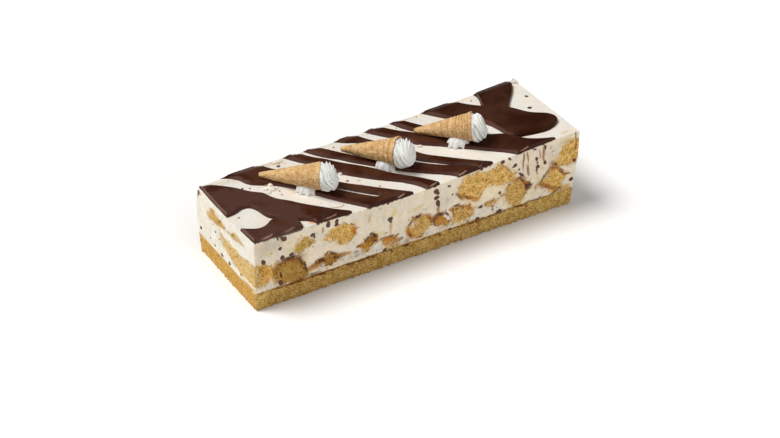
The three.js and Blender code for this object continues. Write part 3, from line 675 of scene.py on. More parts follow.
def creamMaterial():
    material, tree, shader = newMaterial("cut ice cream", 0.5, Specular_IOR_Level=0.3)
    ways = groupNode(tree, facing, Sharpness=0.15)
    # painted light: the end faces take a lighter, whiter colour than the front and back
    colour = mixColour(tree, ways["End"], "creamSide", "creamEnd")
    colour = mixColour(tree, ways["Level"], colour, "creamTop")
    curd = attributeNode(tree, "curd")["Fac"]
    lumpy = rangeNode(tree, noiseNode(tree, 0.0028, 2), 0.35, 0.6, 0.3, 1)
    colour = mixColour(tree, product(tree, curd, lumpy), colour, "curd")
    colour = withMarks(tree, colour, 0.0021, 1.15, 0.92)
    shading = mottled(tree, 0.008, 0.0021, 0.5, 1.3)
    streaks = noiseNode(tree, 0.006, 3, (1, 1, 0.3))
    cloudy, streaky = (product(tree, mathNode(tree, "SUBTRACT", value, 0.5), depth)
                       for value, depth in ((shading, 0.2), (streaks, 0.22)))
    onSide = mathNode(tree, "MULTIPLY_ADD", mathNode(tree, "SUBTRACT", 1, ways["Level"]), 0.7, 0.3)
    tone = mathNode(tree, "MULTIPLY_ADD", mathNode(tree, "ADD", cloudy, streaky), onSide, 0.99)
    colour = vectorNode(tree, "SCALE", colour, tone)
    warmth = rangeNode(tree, noiseNode(tree, 0.009, 3), 0.35, 0.68)
    colour = vectorNode(tree, "MULTIPLY", colour, mixColour(tree, warmth, "cooler", "warmer"))
    dots = product(tree, groupNode(tree, pores, Size=0.0034, From=0.66, To=0.74), 0.3)
    more = product(tree, groupNode(tree, pores, Size=0.0023, From=0.56, To=0.67), curd)
    dots = mathNode(tree, "MAXIMUM", dots, product(tree, more, 0.7))
    colour = mixColour(tree, dots, colour, "creamSpeck")
    height = product(tree, noiseNode(tree, 0.0016), mathNode(tree, "MULTIPLY_ADD", curd, 1.2, 0.3))
    connect(tree, shader, colour, height, 0.0009)
    return material


def chocolateMaterial():
    material, tree, shader = newMaterial(
        "poured chocolate", 0.22, Specular_IOR_Level=0.13, Specular_Tint=(1, 0.55, 0.4, 1))
    shading = mottled(tree, 0.026, 0.004, 0.12, 1.5)
    ways = groupNode(tree, facing, Sharpness=0.2)
    # painted sheen: patches of a lighter sheen brown, and the chocolate lighter at the left end and darker
    # towards the right
    colour = mixColour(tree, shading, "chocolate", "chocolateSheen")
    place = addNode(tree, "ShaderNodeSeparateXYZ", {"Vector": placeNode(tree)}).outputs
    colour = vectorNode(tree, "SCALE", colour, rangeNode(tree, place["X"], 0, 0.12, 1.1, 0.78))
    upright = mathNode(tree, "SUBTRACT", 1, ways["Level"])
    atFront = product(tree, rangeNode(tree, place["Y"], -0.0466, -0.0474), upright)
    atEnd = product(tree, ways["End"], upright)
    colour = mixColour(tree, atFront, colour, "chocolateFront")
    # the cut ends are painted a lighter purple-brown: partly the cut's own matte colour, partly a painted
    # sheen
    colour = mixColour(tree, atEnd, colour, "chocolateCut")
    colour = withMarks(tree, colour, 0.003, 0.9)
    cut = product(tree, mathNode(tree, "MAXIMUM", atFront, atEnd), 0.3)
    rough = mathNode(tree, "ADD", mathNode(tree, "MULTIPLY_ADD", shading, 0.12, 0.2), cut)
    tree.links.new(rough, shader.inputs["Roughness"])
    connect(tree, shader, colour, noiseNode(tree, 0.005, 2), 0.0005, 0.35)
    return material


def waferMaterial():
    material, tree, shader = newMaterial("baked wafer", 0.65, Specular_IOR_Level=0.25)
    shading = mottled(tree, 0.0045, 0.0011, 0.5, 2.2)
    colour = mixColour(tree, shading, "wafer", "waferLight")
    # painted shade in the grooves and inside the mouth, broken into patches
    broken = rangeNode(tree, noiseNode(tree, 0.002, 2), 0.35, 0.6, 0.4, 1)
    groove = product(tree, attributeNode(tree, "groove")["Fac"], broken)
    colour = mixColour(tree, groove, colour, "waferDark")
    dots = product(tree, groupNode(tree, pores, Size=0.0016, From=0.6, To=0.7), 0.6)
    colour = mixColour(tree, dots, colour, "waferDark")
    connect(tree, shader, colour, noiseNode(tree, 0.0021, 3), 0.0013)
    return material


def pipedMaterial():
    material, tree, shader = newMaterial(
        "piped cream", 0.5, Specular_IOR_Level=0.3, Subsurface_Weight=0.6, Subsurface_Scale=1,
        Subsurface_Radius=(0.004, 0.004, 0.0036))
    shading = mottled(tree, 0.004, 0.0009, 0.4, 0.8)
    colour = mixColour(tree, shading, "pipedShade", "piped")
    # painted shade in the valleys between ridges and in the coil groove
    valley = product(tree, attributeNode(tree, "valley")["Fac"], 0.7)
    colour = mixColour(tree, valley, colour, "pipedDeep")
    connect(tree, shader, colour, noiseNode(tree, 0.0012, 3), 0.0003)
    return material


def plainFoodMaterial(name, colour, second, roughness):
    material, tree, shader = newMaterial(name, roughness, Specular_IOR_Level=0.3)
    shading = mottled(tree, 0.003, 0.0008, 0.5, 1.3)
    connect(tree, shader, mixColour(tree, shading, colour, second), noiseNode(tree, 0.0008, 2), 0.0003)
    return material


baseFinish = crumbMaterial("sponge base crumb", "baseSide", "baseEnd", 1.8, 0.8)
pieceFinish = crumbMaterial("sponge piece crumb", "pieceSide", "pieceEnd", 1.4, 0.85)
creamFinish = creamMaterial()
chocolateFinish = chocolateMaterial()
chipFinish = plainFoodMaterial("chocolate chips", "chip", "chipLight", 0.42)
waferFinish = waferMaterial()
pipedFinish = pipedMaterial()
dabFinish = plainFoodMaterial("cream dabs", "creamEnd", "creamTop", 0.5)
crumbFinish = plainFoodMaterial("loose crumbs", "pieceSide", "caramel", 0.8)
sauceFinish = plainFoodMaterial("caramel sauce", "sauce", "sauceDark", 0.4)
print("finishes made")


# Stains, crumb smears, dark seams and painted shade on the faces of the bar, whatever they lie on. Each is a
# stroke: its middle, half length, half width, colour, strength, and the turn of a turned one in degrees.

frontStrokes = [  # middle as along and up
    (60.8, 53, 8, 1.6, "pieceSide", 1, 90), (86, 44, 5, 2, "pieceSide", 0.9, -20),
    (-133.2, 31, 10, 1.8, "toasted", 1, 86), (129, 50, 3, 2, "pieceSide", 0.8, 60),
    (9.6, 31, 3.5, 1.6, "rust", 0.9, 80), (-28, 18.5, 7, 2.4, "honey", 0.7, -8),
    (-128.6, 60.5, 3.6, 0.9, "tan", 0.55, -75), (-121, 55.3, 2.8, 2.2, "straw", 0.55, -50),
    (-138.5, 51.8, 3.6, 2.6, "straw", 0.55), (-136.5, 51, 1, 0.7, "rust", 0.7, -30),
    (-131.5, 48, 1.3, 0.9, "tan", 0.45), (-120.5, 48, 4.5, 2.2, "straw", 0.5, 20),
    (-149, 33, 3, 12, "straw", 0.4), (-118.5, 38.6, 9, 2.2, "rust", 0.75),
    (-120.5, 40.8, 8.5, 1.9, "umber", 1, -3), (-110.6, 33, 7, 1.1, "crust", 0.85, -66),
    (-128.3, 26.8, 4.2, 0.9, "umber", 0.9, -68), (-133, 34, 6, 1.3, "rust", 0.5, 82),
    (-146, 32, 4, 9, "caramel", 0.3), (-112, 15.9, 18, 1.5, "crust", 0.8, -1),
    (-98, 20.5, 5, 1.2, "butter", 0.7, 6), (-131, 17, 3, 1.2, "crust", 0.6),
    (-98, 17.6, 5, 1.2, "umber", 0.9, -12), (-93, 15.4, 3.8, 1.3, "umber", 0.9, -15),
    (-105, 16, 5, 1.1, "rust", 0.65), (-84, 16, 5, 0.9, "crust", 0.6, -15),
    (-100, 25.2, 7, 2.4, "browned", 1, 12), (-95, 24.6, 4.5, 2.2, "amber", 0.9, -4),
    (-101, 24.4, 6, 1, "rust", 0.7, 8), (-106.3, 25.5, 1.7, 1.1, "umber", 0.8, -30),
    (-94, 28, 2, 1.6, "umber", 0.8), (-91, 28, 2.8, 1.3, "umber", 0.85, -40),
    (-84, 32.6, 3, 1.1, "umber", 0.85, -35), (-79, 27.6, 3.6, 2.2, "umber", 0.75, -30),
    (-75, 28, 5, 1.9, "browned", 0.9, -14), (-70, 27, 5, 1.2, "rust", 0.55),
    (-86, 24.5, 3.5, 1.6, "rust", 0.5), (-88.5, 33.3, 2, 1, "umber", 0.7, 35),
    (-92.5, 23, 2.6, 1.8, "white", 0.75, 20), (-96, 18.8, 2, 1, "grey", 0.4),
    (-103, 49.3, 2.6, 1.8, "umber", 0.55, -50), (-112, 53, 3, 1, "honey", 0.6, -50),
    (-91.8, 56.5, 3.4, 0.9, "rust", 0.65, 84), (-87.5, 50, 3, 1.3, "rust", 0.5, -40),
    (-84, 52.5, 1, 0.7, "rust", 0.5), (-63.9, 46.8, 4.4, 2.3, "orange", 1, -74),
    (-63, 45, 2, 1, "rust", 0.7, -60), (-76, 40, 2, 0.8, "rust", 0.5, -60),
    (-49.6, 52.5, 4.6, 1.4, "tan", 0.6, 80), (-40, 59.5, 1.7, 1.3, "tan", 0.65),
    (-27.5, 51.5, 4.2, 2.6, "straw", 0.9, 70), (-35.8, 50, 1.8, 1.4, "straw", 0.45),
    (-29.8, 38, 6, 1.3, "tan", 0.85, 90), (-38, 35, 4.5, 1.6, "straw", 0.75, -10),
    (-33.3, 34, 1.2, 0.9, "crust", 0.6), (-53, 33, 1.3, 0.7, "umber", 0.85, 40),
    (-50.8, 35.3, 1.5, 0.8, "umber", 0.85, 50), (-57.5, 31.3, 1.6, 0.7, "umber", 0.7, 30),
    (-60.7, 29.5, 1.3, 0.8, "umber", 0.8), (-48, 37.8, 1.8, 1.2, "umber", 0.95, 80),
    (-44.8, 35, 3.2, 0.9, "umber", 0.75, -50), (-43.3, 30, 2.8, 1, "umber", 0.9, -30),
    (-46, 33, 2.6, 1.3, "rust", 0.8, -45), (-54, 28, 4.8, 2.4, "orange", 0.85, -30),
    (-51, 25, 2.2, 2, "honey", 0.6), (-43, 24.5, 3, 2, "white", 0.6),
    (-61.5, 25.5, 2.4, 1.4, "grey", 0.6, -30), (-60, 21.3, 1.6, 1, "grey", 0.5),
    (-55, 20.4, 1.2, 0.8, "grey", 0.4), (-67, 26.3, 1.6, 2.4, "honey", 0.7),
    (-68.6, 28, 1, 0.8, "umber", 0.5), (-30, 25.6, 5.4, 2.4, "orange", 0.85, -10),
    (-36.5, 29.7, 2.2, 0.7, "crust", 0.65, -35), (-29, 29.4, 2.2, 0.9, "umber", 0.75),
    (-22.8, 29, 1.7, 0.8, "umber", 0.65, 10), (-20.9, 23, 1.6, 1, "umber", 0.65, 70),
    (-26, 21, 6.5, 3, "tan", 0.6, -30), (-28, 17.8, 7, 1.5, "tan", 0.5, -10),
    (-19, 24, 0.9, 0.9, "grey", 0.8), (-14, 19, 1.4, 2.2, "grey", 0.6), (-18, 21, 2, 1.6, "white", 0.6),
    (-4.8, 48.2, 5.4, 1.5, "straw", 0.95, 14), (2, 44.5, 3.2, 1.5, "grey", 0.3, -15),
    (-9.5, 41, 1.4, 0.7, "crust", 0.7, 30), (-12, 35.2, 2.4, 0.7, "umber", 0.85, 40),
    (-13, 39.2, 1.3, 0.9, "crust", 0.6), (-10.5, 37.6, 1.6, 0.6, "crust", 0.65, 30),
    (-8, 34, 3.6, 2.6, "rose", 0.6, 40), (-2, 41.6, 1, 0.7, "crust", 0.6),
    (-12.4, 26.6, 6.5, 2, "orange", 0.9, -60), (-12, 24, 3, 1.2, "crust", 0.8, -60),
    (-10.2, 23.5, 1.2, 0.8, "umber", 0.6), (4, 38.3, 4.5, 0.9, "rust", 0.7, -20),
    (7.3, 33.8, 3.4, 1.3, "rust", 0.9, -62), (8, 29.8, 1.6, 1.2, "umber", 0.6),
    (12, 30, 2.2, 2.6, "umber", 0.85), (12, 34, 2.8, 1.3, "umber", 0.75, 20),
    (17, 34.6, 3.8, 1.7, "umber", 0.85, -5), (18.5, 30.4, 3.4, 2.4, "orange", 0.75),
    (15.5, 27, 4, 2, "orange", 0.7, -40), (9.5, 33, 2.2, 1.2, "rust", 0.85),
    (21.8, 37, 1.1, 0.6, "grey", 0.7, -20), (23.4, 32.6, 3.6, 0.8, "umber", 0.98, -46),
    (24, 29, 4.6, 1, "white", 0.98, -47), (14.4, 41, 4.8, 1.2, "rust", 0.8, -86),
    (32, 38, 3.6, 0.8, "umber", 0.95, 10), (27.5, 35.2, 2.2, 1.9, "rust", 0.85),
    (32.4, 33.6, 1.5, 0.8, "umber", 0.75, -10), (38, 35.2, 5.5, 1.3, "rust", 0.6, -18),
    (45, 31, 3.6, 2, "orange", 0.8, -40), (43.5, 25.4, 3, 1.2, "rust", 0.5, -60),
    (31.4, 22.6, 2.2, 1.5, "honey", 0.75, -20), (28.6, 20.6, 2.2, 1.4, "rust", 0.5),
    (23, 47, 2, 1.2, "grey", 0.3, 10), (44, 18, 1.2, 0.7, "grey", 0.8, 80),
    (34, 46, 5, 1.1, "umber", 0.7, -50), (38.5, 44.3, 3.4, 1.9, "rust", 0.65, -40),
    (45, 41.4, 5.5, 1.4, "rust", 0.85, -28), (50.5, 37.8, 3.6, 1.9, "orange", 0.95, -15),
    (32.3, 56, 1.6, 6, "rose", 0.6), (42.5, 59, 1.2, 0.8, "rust", 0.55), (56, 56, 1.5, 0.9, "rust", 0.6),
    (47, 50, 1.2, 0.8, "rust", 0.6), (44.5, 48.4, 1.8, 0.7, "crust", 0.5, -40),
    (56, 28.4, 2.2, 1.8, "umber", 0.8), (65.5, 31, 5.4, 0.9, "rust", 0.75, 6),
    (62, 28.4, 2.4, 1.6, "tan", 0.8), (66, 26, 3.4, 1.6, "honey", 0.55, -40),
    (50.5, 29.6, 3.4, 1, "tan", 0.55), (77, 32.6, 2.4, 1.6, "rust", 0.65), (70, 58, 1.2, 0.8, "rust", 0.6),
    (76.5, 51.4, 1.3, 0.9, "rust", 0.65), (80, 57.6, 8.5, 0.7, "rust", 0.6, -48),
    (86, 48, 4, 0.8, "rust", 0.4, -48), (96.2, 60, 8.5, 0.9, "tan", 0.85, -88),
    (100.4, 62, 6.5, 0.6, "rust", 0.6, -77), (101.6, 48.8, 5.2, 0.9, "crust", 0.85, -78),
    (105.5, 60, 6, 0.7, "rose", 0.5, -80), (111, 44.6, 2.6, 0.8, "rust", 0.55, -80),
    (116.4, 60, 7, 1.1, "rust", 0.8, -84), (113.5, 62, 6, 0.7, "rose", 0.7, -78),
    (123, 64.5, 1.8, 1.3, "tan", 0.65, 60), (126, 60.3, 1.4, 0.8, "grey", 0.6),
    (125, 56, 2.2, 1, "grey", 0.25, 80), (116.6, 46.5, 3.6, 1.6, "straw", 0.9, -42),
    (112, 37.4, 3.6, 1.8, "straw", 0.8, -40), (128, 47.4, 3.4, 1.2, "umber", 0.85, -32),
    (126.3, 43.2, 3.4, 2, "rust", 0.85, -45), (118.2, 36.7, 7, 1.4, "umber", 0.8, 52),
    (124.3, 25.3, 11.5, 2, "rust", 1, -29), (133, 40.8, 9.5, 1.7, "rust", 1, -48),
    (137, 37.3, 3, 1, "umber", 0.6, -55), (143.2, 32.8, 4, 0.8, "umber", 0.85, -12),
    (103, 33.2, 4, 2.7, "umber", 1, -15), (97.5, 40, 7, 1.3, "crust", 0.85, -52),
    (98.4, 43.3, 3.4, 1.1, "rust", 0.7, -50), (101, 37.6, 2.4, 1.5, "rust", 0.85, -45),
    (110.8, 29.6, 2.6, 1.2, "rust", 0.9, -80), (106.5, 31.3, 2.4, 1, "tan", 0.7, -30),
    (83.2, 41.3, 2, 0.8, "crust", 0.6, -50), (80.6, 38, 2.4, 0.8, "rust", 0.5, 50),
    (90.5, 43.6, 4.4, 1.8, "rust", 0.7), (90, 25.5, 2.4, 3, "honey", 0.6, -40),
    (148.8, 57.5, 4.5, 1.3, "rust", 0.75, 85), (147.8, 69, 6, 0.6, "umber", 0.75, -83),
    (140.5, 65.4, 7.5, 1.3, "honey", 0.75, 4), (138.5, 67.6, 6.5, 1.8, "straw", 0.55),
    (139, 19.2, 8, 3, "baseSide", 1, 7), (130.5, 18.2, 4.5, 1, "umber", 0.85, 20),
    (136.2, 20.5, 3, 1, "umber", 0.85, -35), (103, 12.6, 3.6, 1.8, "rust", 0.65, -70),
    (95, 16, 6, 1, "umber", 0.8, -6), (110, 17.2, 8, 0.9, "umber", 0.8),
    (119, 16.8, 4, 0.8, "crust", 0.65, -5), (75, 16.4, 5, 1.8, "umber", 0.75),
    (53.6, 16.3, 5, 1.6, "umber", 0.85), (54, 13.6, 3.4, 1.5, "rust", 0.6),
    (66, 15.6, 3.4, 0.8, "crust", 0.65), (60, 15.8, 2.2, 0.9, "umber", 0.6),
    (47, 15.4, 3.4, 0.9, "umber", 0.65), (42, 14.2, 4.4, 1.2, "rust", 0.65, -10),
    (36, 15.3, 4, 0.9, "umber", 0.65, -20), (27, 16, 2.4, 1.1, "umber", 0.8),
    (17, 15, 3.2, 1.1, "umber", 0.65, -45), (10, 15, 5, 1.1, "rust", 0.55),
    (3, 15.6, 4, 0.9, "crust", 0.65), (-7.5, 12.6, 3.6, 1.5, "rust", 0.55, 90),
    (-15.5, 15.3, 3.6, 1.1, "umber", 0.8, -10), (-29, 15.3, 4.4, 0.9, "umber", 0.65, -35),
    (-45, 15.2, 3.4, 1, "crust", 0.65), (-49.5, 15.8, 2, 1.6, "umber", 0.8),
    (-56, 15.6, 5, 1, "umber", 0.8), (-66, 15.8, 4.4, 1.2, "umber", 0.8, -8),
    (-65, 13.4, 2.4, 1.8, "rust", 0.65), (-148, 5, 2.6, 2.4, "rust", 0.35), (12, 44.5, 2, 3, "rose", 0.5),
    (8, 55, 4, 6, "rose", 0.4),
]
leftStrokes = [  # middle as across and up
    (-29.5, 52.9, 4.5, 0.9, "tan", 0.85, 22), (-22, 55.2, 4, 1, "tan", 0.8, 12),
    (-15.5, 53, 5, 1.6, "honey", 0.9, -35), (-14.4, 52.4, 3, 1.1, "crust", 0.65, -38),
    (-7, 50, 4, 0.9, "tan", 0.7, -20), (6.6, 52.6, 2.8, 0.7, "crust", 0.7, -42),
    (10, 49, 5, 1.8, "caramel", 0.45, -20), (-38, 18.4, 12, 1.4, "baseEnd", 1, -3),
    (37, 17, 11, 1.2, "baseEnd", 1, 2), (-45.5, 56, 3, 9, "rose", 0.35),
    (45, 55.5, 1.6, 3.2, "umber", 0.8, 30), (4, 38.5, 5, 2.2, "smear", 0.5, -25),
    (20, 54.4, 6, 1, "honey", 0.6, -10), (-44, 31.5, 3.4, 2, "honey", 0.65, -20),
    (-18, 34, 4.4, 1.5, "rust", 0.45, -30), (-12, 29.6, 4, 1, "honey", 0.6, -40),
    (5, 33.5, 2.4, 5, "straw", 0.6), (17, 36.5, 2.6, 0.9, "grey", 0.5, -30),
    (34, 29.5, 2, 1.2, "straw", 0.55), (40.5, 43.5, 1.8, 1.4, "grey", 0.3),
    (-15, 23.5, 3.4, 1, "grey", 0.25, -20), (43, 56.5, 3, 1.6, "tan", 0.7, -30),
    (-40, 17.4, 6, 1, "rust", 0.35), (-25, 13, 3, 2, "rust", 0.35, -40), (15, 13, 3, 2, "rust", 0.3, -40),
]
topStrokes = [  # middle as along and across
    (-105.2, 11.7, 3.4, 2, "caramel", 0.6, -20), (-38.3, -11.5, 2.4, 1.4, "tan", 0.6),
    (-98.2, -43.8, 4.2, 2.4, "peach", 0.95, 10), (-82, 41.5, 5, 3.2, "tan", 0.6),
    (-93, 43.2, 6, 1.2, "tan", 0.5), (-56, 43.4, 5, 1.2, "tan", 0.4), (34, 43.2, 7, 1.2, "tan", 0.4),
    (88, 43.2, 6, 1.4, "tan", 0.45), (139.5, -43.5, 5, 1.3, "tan", 0.5), (-90, -3, 5, 1.6, "tan", 0.25),
    (143, 36, 3, 3, "tan", 0.35), (143, -44, 7, 2.6, "rose", 0.5, 12),
    (-130, 38, 16, 5, "shade", 0.42, -12), (-86, 42, 9, 3.2, "shade", 0.4),
    (-30, 42.6, 12, 1.6, "shade", 0.35), (47, 42.8, 10, 1.5, "shade", 0.35), (99, 43, 8, 1.5, "smear", 0.4),
]
# broad changes of shade over the cut ice cream: middle as along and up
creamWashes = [
    (-138, 57, 14, 10, "shade", 0.62), (-112, 41, 8, 8, "shade", 0.3), (18, 47, 13, 9, "shade", 0.32),
    (126, 56, 8, 13, "shade", 0.38), (65, 41, 13, 6, "butter", 0.75), (-61, 22, 13, 3.6, "shade", 0.42),
    (98, 24, 22, 6, "butter", 0.7), (-18, 21, 8, 4, "shade", 0.4), (-48, 57, 18, 5, "shade", 0.25),
    (25, 20, 12, 3.5, "smear", 0.3), (108, 54, 12, 14, "rose", 0.35), (-100, 21, 14, 3, "smear", 0.35),
]
brushLook = {"wobble": 0.9, "wobbleSize": 3.2, "fray": 1.5, "fraySize": 1.5}


def onFront(points):
    return smoothStep(1.4, 0.5, points[:, 1] - front(points[:, 0], points[:, 2]))


def brushed(marks, shown, a, b, strokes):
    # strokes laid one over another where the surface shows, their edges broken up by fine noise
    look = brushLook
    chosen = np.flatnonzero(shown > 0.01)
    a, b = a[chosen], b[chosen]
    bent, raised = (waves(a, b, 0, look["wobbleSize"], seed) * look["wobble"] for seed in (1, 2))
    frayed = waves(a, b, 0, look["fraySize"], 3)
    a, b, part = a + bent, b + raised, marks[chosen]
    for along, up, length, width, colour, strength, *turn in strokes:
        angle = math.radians(turn[0] if turn else 0)
        c, s = math.cos(angle), math.sin(angle)
        u, v = (a - along) * c + (b - up) * s, (b - up) * c - (a - along) * s
        reach = np.exp(-np.abs(u / length) ** 2.6 - np.abs(v / width) ** 2.2)
        reach = reach * (1 + look["fray"] * frayed * (1 - reach))
        part = layOver(part, colour, strength * reach * shown[chosen])
    marks[chosen] = part
    return marks


def paintedMarks(obj, marks):
    points = coordinates(obj)
    x, y, z = points.T
    onLeft = smoothStep(1.4, 0.5, x - left(y, z))
    onTop = smoothStep(1, 0.3, top(x, y) - z)
    marks = brushed(marks, onFront(points), x, z, frontStrokes)
    marks = brushed(marks, onLeft, y, z, leftStrokes)
    return brushed(marks, onTop, x, y, topStrokes)


# Sponge base

poreSize = 2.4
baseLook = {
    "height": 16.5, "step": 0.6, "swell": (6, 0.35), "grain": (1.3, 0.5), "pore": (poreSize, 0.95),
    "raggedness": 1.3, "raggedHeight": 2.4, "undercut": 1.5, "lift": 1.5, "crustHeight": 1.9,
    "toastedShare": 0.45, "honeyShare": 0.5, "leftHoneyShare": 0.8,
    "ends": 149, "sides": (-47, 43),  # beyond these the crumb may stray outward
    "front": -45, "floorHeight": 0.4,
}


def makeBase():
    look = baseLook
    counts = [round(size / look["step"]) for size in (*barSize, look["height"])]
    shares, quads = boxGrid(counts)
    points = barPoints(shares, lambda x, y: 0 * x, baseTop)
    undercut = look["undercut"] * (1 - smoothStep(0, 0.5, points[:, 2]))
    loose = 1 - smoothStep(0.3, look["raggedHeight"], points[:, 2])
    for i in np.flatnonzero(loose > 0):
        x, y, z = points[i]
        rough = wave(x, y, 0, 2.6) + 0.8 * wave(x, y, z, 1.2, 2)
        push = look["raggedness"] * rough * loose[i] - undercut[i]
        away = [0 if abs(x) < look["ends"] else math.copysign(1, x),
                0 if look["sides"][0] < y < look["sides"][1] else math.copysign(1, y)]
        points[i, :2] += np.array(away) * push
        if z > 0.3:  # the foot of the crumb stands off the floor here and there
            points[i, 2] += look["lift"] * max(0, wave(x, y, 0, 3.1, 6)) * loose[i] ** 2
    levels = np.array([shares[q, 2].max() - shares[q, 2].min() for q in quads])
    sides = [quad for quad, rise in zip(quads, levels) if rise > 1e-9]
    nx, ny, nz = counts
    number = {tuple(key): i for i, key in enumerate(np.round(shares * counts).astype(int))}
    for level in (0, nz):  # one broad face below and one under the ice cream
        loop = rimOf(lambda i, j, k: number[i, j, k], nx, ny, level)
        sides.append(loop if level else loop[::-1])
    used = sorted({i for quad in sides for i in quad})
    renumber = {old: new for new, old in enumerate(used)}
    sides = [[renumber[i] for i in quad] for quad in sides]
    made = newObject("sponge_base_crumb", points[used], sides, baseFinish)
    roughen(made, baseFinish, look)
    points = coordinates(made)
    points[:, 2] = np.where(points[:, 2] < look["floorHeight"], 0, points[:, 2])
    moveTo(made, points)
    x, y, z = points.T
    fray = 0.9 + waves(x, 0, 0, 7, 61) + 0.8 * waves(x, 0, z, 1.6, 62)
    rim = smoothStep(look["crustHeight"] * np.maximum(fray, 0.2), 0.1, baseTop(x, y) - z)
    rim *= np.abs(x) < look["ends"]
    marks = layOver(unmarked(points), "crust", rim * (0.42 + 0.3 * (x < -10)))
    mark(made, paintedMarks(made, marks))
    tints, inFront = unmarked(points), y < look["front"]
    for colour, share, start, end in (("toasted", look["toastedShare"], 60, -130),
                                      ("honey", look["honeyShare"], 20, 130),
                                      ("honey", look["leftHoneyShare"], -132, -148)):
        tints = layOver(tints, colour, share * smoothStep(start, end, x) * inFront)
    mark(made, tints, "tint")
    return finishPiece(made, baseFinish, "sponge", 60, "sponge_base")


# Pieces of sponge in the ice cream

pieceLook = {
    "around": 150, "along": 9, "step": 0.46, "endStep": 3, "fuzz": ((6, 0.8), (3, 1.7), (1.5, 1.3)),
    "beyond": 4, "swell": (4, 0.4), "grain": (1.2, 0.32), "pore": (poreSize, 0.5), "height": (10, 74),
    # a piece that comes this far along or across runs out through the face, and through the end in a corner
    "through": ((-145, -45), (145, 40)), "throughEnds": (-149.6, 148.9),
}
# where an outline bulges, so that neighbours meet as they were pressed together: way in degrees, width, by
pieceBulges = {
    "crusted_left": ((180, 40, 2.5), (-90, 45, 1.6), (-40, 28, 3.4), (40, 20, 1.5)),
    "left_corner": ((0, 30, 1.9),), "kite": ((-78, 20, 3.6), (98, 22, 3), (-4, 17, 4.2), (182, 16, 1.6)),
    "slanting": ((75, 50, 1.5), (0, 24, 1.8), (-110, 40, 1.3)), "arched": ((195, 30, 2), (150, 25, 2.8)),
    "large_upper": ((-80, 20, 2.2), (20, 26, 2.2), (60, 25, 1)), "upper_left": ((20, 25, 0.6),),
    "small": ((170, 50, 2),), "left_end_lens": ((175, 20, 4.5), (40, 75, 2), (-100, 40, 1)),
    "upright": ((0, 20, 3.4), (-85, 20, 3.2), (75, 20, 1.4)), "low_flat": ((-75, 35, 2.4),),
    "middle": ((-5, 28, 1.6),), "right_corner": ((218, 20, 3.2), (-90, 40, 2.2)),
    "lower_left": ((178, 18, 4.5), (212, 28, 2.8)),
}
# how each is baked: its tint, then the colour of its browned rim, the way that rim faces (along, up),
# its strength and its width
pieceTones = {
    "crusted_left": ("toasted", "crust", (0.1, 1), 0.9, 2.4),
    "left_corner": ("deepGold", "caramel", (1, 0.2), 0.3, 1.5),
    "slanting": ("honey", "caramel", (0.3, -1), 0.2, 1), "small": ("amber", "crust", (-0.6, 0.4), 0.7, 1.8),
    "upper_left": ("pieceSide", "crust", (1, 0.3), 0.35, 1.6),
    "lower_left": ("browned", "crust", (-0.3, 1), 0.8, 2), "upright": ("soft", "crust", (0.8, 0.9), 0.6, 2),
    "low_peak": ("browned", "crust", (-0.8, 1), 0.8, 1.6), "low_flat": ("amber", "rust", (0, 1), 0.6, 1.6),
    "middle": ("soft", "caramel", (-1, -0.1), 0.8, 2.4), "streak": ("soft", "caramel", (0, 1), 0.6, 1.2),
    "lower_right": ("soft", "rust", (-0.2, 1), 0.8, 1.9),
    "large_upper": ("pieceSide", "caramel", (-0.3, -1), 0.5, 1.5),
    "arched": ("pieceSide", "caramel", (0.4, 1), 0.3, 1.2),
    "kite": ("pieceSide", "caramel", (-0.4, 0.4), 0.8, 1.9),
    "right_corner": ("pieceSide", "caramel", (0.2, -1), 0.4, 1.5),
}
endTone = ("endGold", "caramel", (0, 1), 0, 1)


def shortName(name):
    return name.replace("sponge_piece_", "")


def crossSection(triangles, axis, level, count):
    # the outline where a plane cuts a solid, as a middle and a distance at each of count angles
    others = [k for k in range(3) if k != axis]
    starts, ends = [], []
    for triangle in triangles:
        side = triangle[:, axis] - level
        if side.min() < 0 < side.max():
            crossings = []
            for i, j in ((0, 1), (1, 2), (2, 0)):
                if side[i] * side[j] < 0:
                    t = side[i] / (side[i] - side[j])
                    crossings.append(lerp(triangle[i], triangle[j], t)[others])
            if len(crossings) == 2:
                starts.append(crossings[0])
                ends.append(crossings[1])
    starts, ends = np.array(starts), np.array(ends)
    length = np.linalg.norm(ends - starts, axis=1)
    middle = ((starts + ends) / 2 * length[:, None]).sum(0) / length.sum()
    ways = np.stack(around(count)[1:], 1)

    def crossed(p, q):
        return p[..., 0] * q[..., 1] - p[..., 1] * q[..., 0]

    edge, start, way = (ends - starts)[None], (starts - middle)[None], ways[:, None]
    across = crossed(way, edge)
    across = np.where(np.abs(across) < 1e-9, 1e-9, across)
    reach, along = crossed(start, edge) / across, crossed(start, way) / across
    reach = np.where((along >= -1e-6) & (along <= 1 + 1e-6) & (reach > 0), reach, 0)
    return middle, ways, reach.max(1)


